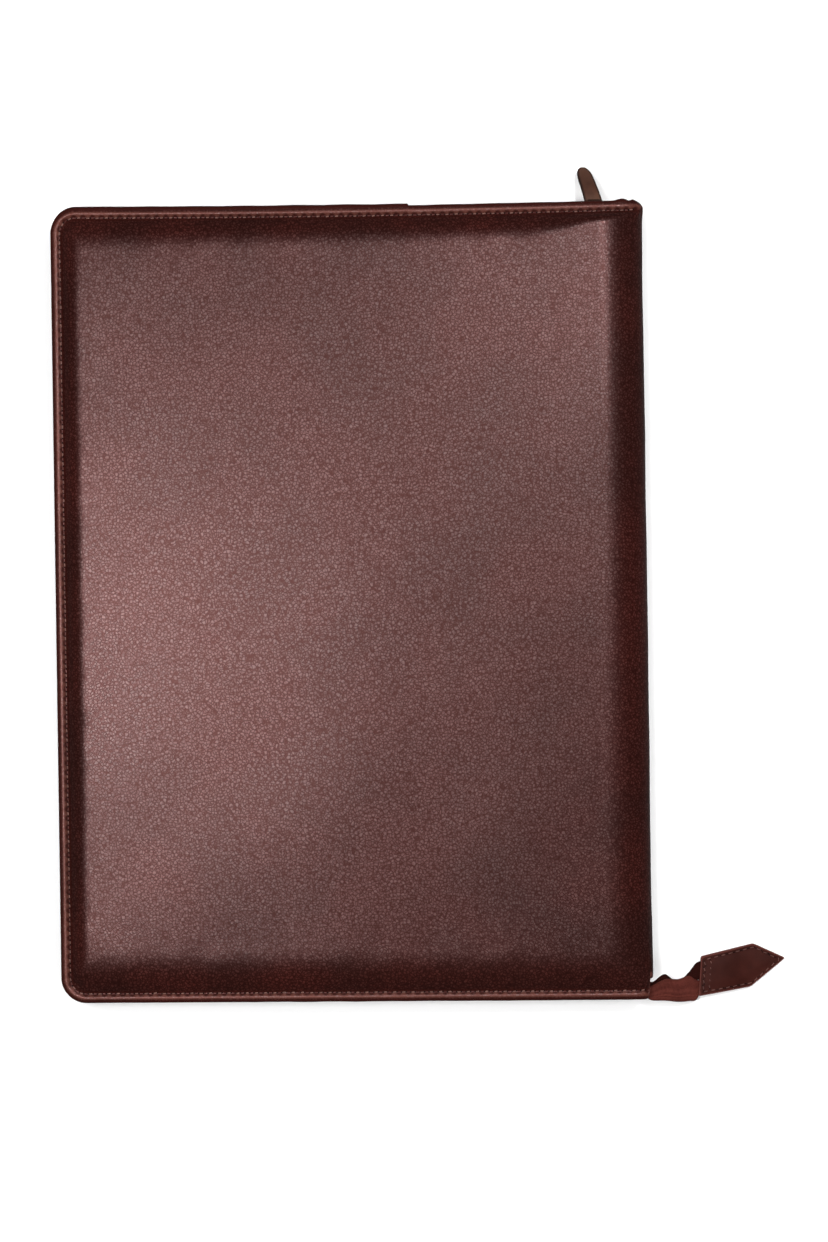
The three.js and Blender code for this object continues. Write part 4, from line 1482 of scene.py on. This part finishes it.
@dataclass
class SliderAndPull:
    """The metal slider and the leather pull through its bridge.

    strap_left and strap_right hold the strap's edges towards its tip, as shares of its reach and its width.
    """

    form: CaseForm
    metal: AgedMetalFinish
    leather: SmoothLeatherFinish
    bridge_x: float = 107.8 * MM
    length: float = 9.2 * MM
    edge_round: float = 0.18 * MM
    reach: float = 16.8 * MM
    width: float = 8.0 * MM
    neck_width: float = 5.4 * MM
    lean: float = 4.0 * MM
    thickness: float = 2.2 * MM
    tip_clearance: float = 0.3 * MM
    eye_inner: float = 1.1 * MM
    eye_outer: float = 2.05 * MM
    eye_steps: int = 24
    strap_left: tuple[tuple[float, float], ...] = (
        (0.73, -0.33), (0.858, -0.352), (0.944, -0.285), (0.99, -0.158), (1.0, 0.0))
    strap_right: tuple[tuple[float, float], ...] = (
        (0.76, 0.49), (0.864, 0.391), (0.936, 0.275), (0.981, 0.144), (1.0, 0.0))

    def build_slider(self) -> bpy.types.Object:
        """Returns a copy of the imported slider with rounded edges, in its place."""
        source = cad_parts["slider"]
        piece = bpy.data.objects.new("slider_body", source.data.copy())
        bpy.context.scene.collection.objects.link(piece)
        piece.data.transform(source.matrix_world)
        piece.data.materials.clear()
        weld(piece, 1e-6, outward=False)
        with editing(piece):
            bpy.ops.mesh.dissolve_limited(angle_limit=math.radians(2))
        round_edges(piece, self.edge_round, 2, 35)
        shade_by_angle(piece, 40)
        piece.data.materials.append(self.metal.material())
        return piece

    def side_line(self, t: float) -> Placing:
        """Returns the strap's middle line and its upward normal, as reach and height from the bridge bar."""
        drop = self.form.mid - self.tip_clearance - self.thickness / 2
        reach = self.reach + 0.2 * MM
        knots = np.array([[0, 0], [0.42 * reach, 0], [0.72 * reach, -0.55 * drop], [reach, -drop]])
        weights = np.array([(1 - t) ** 3, 3 * t * (1 - t) ** 2, 3 * t**2 * (1 - t), t**3])
        slopes = np.array([-3 * (1 - t) ** 2, 3 * (1 - t) ** 2 - 6 * t * (1 - t),
                           6 * t * (1 - t) - 3 * t**2, 3 * t**2])
        along = slopes @ knots
        along /= np.linalg.norm(along)
        return weights @ knots, np.array([-along[1], along[0]])

    def edge_at(self, reach: float, knots: tuple[tuple[float, float], ...], way: int) -> float:
        """Returns the x of one of the strap's edges at a distance from the bridge bar.

        Args:
            reach: the distance.
            knots: the edge's places towards the tip.
            way: -1 for the left edge and 1 for the right one.

        Returns:
            The edge's place, measured from the bridge's middle.
        """
        shares, offsets = zip(*knots)
        bends = [offset * self.width - self.lean for offset in offsets]
        return float(np.interp(reach / self.reach, [0.02, *shares], [way * self.width / 2, *bends]))

    def build_pull(self) -> bpy.types.Object:
        """Returns the leather pull: an eye round the bar and a strap that droops past the edge."""
        top_y = float(self.form.settle(np.array(self.bridge_x), np.array(self.form.length / 2)))
        rings, insets = [], []
        profile = np.radians(np.arange(0, 360, 15))
        c, s = np.cos(profile), np.sin(profile)
        tip = 0.85 + 0.149 * np.sin(np.linspace(0, 1, 14)[1:] * math.pi / 2)
        for share in np.concatenate([np.linspace(0.047, 0.85, 32), tip]):
            centre, normal = self.side_line(float(share))
            reach = min(float(centre[0]), self.reach)
            left, right = self.edge_at(reach, self.strap_left, -1), self.edge_at(reach, self.strap_right, 1)
            half = max((right - left) / 2, 0.12 * MM)
            across = np.sign(c) * np.abs(c) ** 0.55 * half
            thinning = min(1.0, half / (1.2 * MM)) ** 0.5
            lift = np.sign(s) * np.abs(s) ** 0.4 * self.thickness / 2 * thinning
            rings.append(np.stack([self.bridge_x + (left + right) / 2 + across, top_y + centre[0] + normal[0] * lift,
                                   self.form.mid + centre[1] + normal[1] * lift], axis=-1))
            insets.append(half - np.abs(across))
        count, total = len(profile), len(rings) * len(profile)
        eye_points, eye_faces = self.eye(top_y)
        faces = [*tube_faces(len(rings), count), list(range(count))[::-1], list(range(total - count, total)),
                 *([total + corner for corner in face] for face in eye_faces)]
        piece = mesh_piece("pull_strap", np.concatenate([*rings, eye_points]), faces)
        point_values(piece, "inset", np.concatenate([*insets, np.full(len(eye_points), 0.2 * MM)]))
        weld(piece)
        piece.data.materials.append(self.leather.material())
        return piece

    def eye(self, top_y: float) -> tuple[np.ndarray, list[list[int]]]:
        """Returns the leather loop round the bridge bar."""
        half = self.neck_width / 2
        section = [(self.eye_inner, -half), (self.eye_outer, -half), (self.eye_outer, half), (self.eye_inner, half)]
        angles = [2 * math.pi * step / self.eye_steps for step in range(self.eye_steps)]
        points = [(self.bridge_x + x, top_y + radius * math.cos(angle), self.form.mid + radius * math.sin(angle))
                  for angle in angles for radius, x in section]
        return np.array(points), tube_faces(self.eye_steps, len(section), closed=True)


@dataclass
class EndTab:
    """The arrow-shaped leather tab: two layers stitched together round the tape's end."""

    tab: TabForm
    leather: SmoothLeatherFinish
    thread: ThreadFinish
    corner_round: float = 0.7 * MM
    edge_round: float = 0.28 * MM
    cuts_along: int = 24
    cut_spacing: float = 1.5 * MM
    seam_inset: float = 1.5 * MM
    seam_width: float = 0.5 * MM

    def layer_piece(self, name: str, floor: Callable[[np.ndarray], np.ndarray], puff: float) -> bpy.types.Object:
        """Models one layer from an outline, extruded, cut across for its bend and rounded.

        Args:
            name: the piece's name.
            floor: gives the layer's lower face along the tab.
            puff: how far the face swells inside the stitching, upwards where positive.

        Returns:
            The layer in its place.
        """
        tab = self.tab
        free_selection()
        bpy.ops.mesh.primitive_circle_add(vertices=5, radius=1.0, fill_type="NGON")
        piece = bpy.context.object
        piece.name = piece.data.name = name
        for vertex, (along, across) in zip(piece.data.vertices, tab.outline(0.0)[::-1]):
            vertex.co = (along, across, 0.0)
        with editing(piece):
            bpy.ops.mesh.bevel(offset=self.corner_round, segments=4, affect="VERTICES")
            bpy.ops.mesh.select_all(action="SELECT")
            bpy.ops.mesh.extrude_region_move(TRANSFORM_OT_translate={"value": (0, 0, tab.layer)})
            bpy.ops.mesh.select_all(action="SELECT")
            bpy.ops.mesh.normals_make_consistent(inside=False)
            cut_across([tab.length * step / self.cuts_along for step in range(1, self.cuts_along)], 0)
            cut_across([step * self.cut_spacing for step in range(-5, 6)], 1)
        round_edges(piece, self.edge_round, 3, 50)
        along, across, height = points_of(piece).T
        inset = tab.edge_distance(along, across)
        groove = -0.18 * MM * bell(inset - self.seam_inset, self.seam_width)
        swell = abs(puff) * ease((inset - 1.6 * MM) / (4 * MM))
        outside = (height > tab.layer / 2) == (puff > 0)
        shift = np.where(outside, math.copysign(1.0, puff) * (groove + swell), 0.0)
        placed = tab.place(along, across, height + shift + floor(along))
        piece.data.vertices.foreach_set("co", placed.ravel())
        side_wall = (height > 0.2 * MM) & (height < tab.layer - 0.2 * MM)
        point_values(piece, "inset", np.where(side_wall, 0.0, inset))
        shade_by_angle(piece, 45)
        piece.data.materials.append(self.leather.material())
        return piece

    def on_top(self, line: np.ndarray) -> Placing:
        """Returns a line of the tab lifted onto its upper face, with normals."""
        tab = self.tab
        along, across = line.T
        dip = 0.1 * MM * bell(tab.edge_distance(along, across) - self.seam_inset, self.seam_width)
        points = tab.place(along, across, tab.upper_floor(along) + tab.layer - dip)
        return points, np.tile([math.sin(math.radians(tab.tilt)), 0.0, 1.0], (len(points), 1))

    def build_stitches(self) -> list[bpy.types.Object]:
        """Returns the seam round the tab and the cross rows over the tape's end."""
        corners = self.tab.outline(self.seam_inset)
        edge = np.concatenate([np.linspace(corners[i], corners[i + 1], 60)[:-1] for i in range(4)])
        run = StitchRun("tab_edge_stitches", self.thread, length=2.3 * MM, radius=0.2 * MM, pitch=3.3 * MM, slant=5)
        pieces = run.build(*self.on_top(edge))
        reach = self.tab.root_width / 2 - 1.9 * MM
        for number, along in enumerate((1.9 * MM, 4.6 * MM)):
            line = np.stack([np.full(50, along), np.linspace(-reach, reach, 50)], axis=-1)
            run = StitchRun(f"tab_cross_stitches_{number + 1}", self.thread, length=1.9 * MM, radius=0.2 * MM,
                            pitch=2.6 * MM, slant=20)
            pieces.extend(run.build(*self.on_top(line)))
        return pieces


@dataclass(frozen=True)
class Lamp:
    """One soft round light; an unmirrored one lights surfaces but leaves no sheen on them."""

    name: str
    place: tuple[float, float, float]
    size: float
    power: float
    aim: tuple[float, float, float] = (0.0, 0.0, 0.0)
    mirrored: bool = True


@dataclass
class Studio:
    """The pale floor, the soft lights and the camera straight above the case."""

    image_height: int = 1242
    lens: float = 100.0
    sensor: float = 36.0
    scale: float = 0.4334 * MM
    level: float = 21.0 * MM
    centre: tuple[float, float] = (26.7 * MM, -8.2 * MM)
    roll: float = -0.85
    lamps: tuple[Lamp, ...] = (
        Lamp("key", (-0.265, -0.035, 1.3), 0.35, 10.5, (-0.1, -0.02, 0.0)),
        Lamp("upper_right", (0.4, 0.43, 1.5), 0.2, 12.0, (0.1, 0.1, 0.0)),
        Lamp("middle", (0.11, 0.2, 1.5), 0.5, 2.0, (0.05, 0.08, 0.0)),
        Lamp("side_1", (-2.2, 2.0, 1.6), 1.6, 26.0, mirrored=False),
        Lamp("side_2", (2.2, 2.0, 1.6), 1.6, 26.0, mirrored=False),
        Lamp("side_3", (-2.2, -2.0, 1.6), 1.6, 26.0, mirrored=False),
        Lamp("side_4", (2.2, -2.0, 1.6), 1.6, 26.0, mirrored=False),
    )
    surroundings: float = 0.15
    floor_size: float = 8.0
    floor_finish: FloorFinish = FloorFinish("pale_floor", (0.9, 0.9, 0.9, 1.0), (0.93, 0.93, 0.93, 1.0), 0.12)

    def camera(self) -> None:
        """Makes the camera and sets it for the scene."""
        data = bpy.data.cameras.new("camera")
        data.lens = self.lens
        data.sensor_width = self.sensor
        data.sensor_fit = "AUTO"
        data.clip_end = 20.0
        camera = bpy.data.objects.new("camera", data)
        distance = self.scale * self.image_height * self.lens / self.sensor
        camera.location = (*self.centre, self.level + distance)
        camera.rotation_euler = (0.0, 0.0, math.radians(self.roll))
        bpy.context.scene.collection.objects.link(camera)
        bpy.context.scene.camera = camera

    def floor(self) -> None:
        """Makes the pale floor, which the leather doesn't mirror."""
        free_selection()
        bpy.ops.mesh.primitive_plane_add(size=self.floor_size, location=(0, 0, 0))
        floor = bpy.context.object
        floor.name = "floor"
        floor.data.materials.append(self.floor_finish.material())
        floor.visible_glossy = False
        free_selection()

    def light(self) -> None:
        """Makes the soft lights and the even surroundings."""
        for lamp in self.lamps:
            data = bpy.data.lights.new(lamp.name, "AREA")
            data.shape = "DISK"
            data.size = lamp.size
            data.energy = lamp.power
            light = bpy.data.objects.new(lamp.name, data)
            light.location = lamp.place
            direction = Vector(lamp.aim) - Vector(lamp.place)
            light.rotation_euler = direction.to_track_quat("-Z", "Y").to_euler()
            light.visible_glossy = lamp.mirrored
            bpy.context.scene.collection.objects.link(light)
        world = bpy.data.worlds.new("surroundings")
        world.use_nodes = True
        background = world.node_tree.nodes["Background"]
        background.inputs[0].default_value = (1.0, 1.0, 1.0, 1.0)
        background.inputs[1].default_value = self.surroundings
        bpy.context.scene.world = world
        bpy.context.scene.view_settings.view_transform = "Standard"


def hand_over(piece: bpy.types.Object, slot: str, *nodes: str) -> None:
    """Ties a piece to the part's body, hides the imported nodes that it stands for and logs its slot."""
    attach(piece, BODY)
    if nodes:
        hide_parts(*nodes)
    log.info("%s: %d faces, %s", piece.name, len(piece.data.polygons), slot)


def main() -> None:
    """Builds every piece of the case and the studio round it."""
    logging.basicConfig(level=logging.INFO, format="%(name)s %(message)s")
    studio = Studio()
    studio.camera()
    studio.floor()
    studio.light()

    # worn paints the border ridge lighter, partly as wear and partly as a painted highlight; deep also paints shade
    # on the rolled edge and between the stitch puffs.
    nappa = NappaFinish("nappa_leather", colour(18, 5, 4), colour(44, 15, 11), colour(60, 21, 16),
                        colour(88, 50, 42), (1.0, 0.46, 0.43, 1.0), 0.28)
    tab_leather = SmoothLeatherFinish("tab_leather", colour(50, 20, 15), colour(38, 13, 9), colour(88, 46, 40),
                                      (1.0, 0.6, 0.56, 1.0), 0.5, 0.7 * MM, 0.12)
    pull_leather = SmoothLeatherFinish("pull_leather", colour(76, 48, 36), colour(54, 31, 23), colour(24, 12, 10),
                                       (1.0, 0.8, 0.68, 1.0), 0.6, 1.3 * MM)
    thread = ThreadFinish("thread", colour(118, 82, 72), colour(78, 48, 42))
    tab_thread = ThreadFinish("tab_thread", colour(100, 62, 54), colour(62, 34, 29))

    form = CaseForm()
    cover = Cover(form, nappa).build()
    hand_over(cover, "leather", "cover")

    for side, name in ((Side.FRONT, "front_border_stitches"), (Side.BACK, "back_border_stitches")):
        path, normals = form.border_run(side, form.stitch_inset, 0.05 * MM)
        run = StitchRun(name, thread, pitch=form.stitch_pitch)
        for stitches in run.build(path, normals, 0.08 * MM):
            hand_over(stitches, "leather")

    tab = TabForm(form)
    zip_form = ZipForm(form, tab)
    # The front tape's finish is a darker copy of the tape's colour: painted shade for its half of the tail, which
    # lies in shade.
    for half, finish in (
        (FRONT_TAPE, TapeFinish("woven_tape_shaded", colour(48, 20, 17), colour(22, 9, 7))),
        (BACK_TAPE, TapeFinish("woven_tape", colour(100, 50, 43), colour(44, 19, 15))),
    ):
        hand_over(ZipTape(zip_form, half, finish).build(), "zip_tape", half.node)

    metal = AgedMetalFinish("aged_metal", colour(150, 124, 88), colour(72, 56, 40))
    hardware = SliderAndPull(form, metal, pull_leather)
    hand_over(hardware.build_slider(), "slider_metal", "slider")
    hand_over(hardware.build_pull(), "pull_leather", "pull")
    teeth_finish = TeethFinish("zip_teeth", colour(48, 26, 22), colour(78, 50, 42))
    teeth = ZipTeeth(zip_form, teeth_finish, hardware.bridge_x, hardware.length)
    hand_over(teeth.build(), "zip_teeth", "zip_chain")

    end_tab = EndTab(tab, tab_leather, tab_thread)
    lower = end_tab.layer_piece("tab_lower_leather", np.zeros_like, -0.05 * MM)
    hand_over(lower, "tab_leather", "end_tab_lower")
    upper = end_tab.layer_piece("tab_upper_leather", tab.upper_floor, 0.25 * MM)
    hand_over(upper, "tab_leather", "end_tab_upper")
    for stitches in end_tab.build_stitches():
        hand_over(stitches, "tab_leather")


if __name__ == "__main__":
    main()
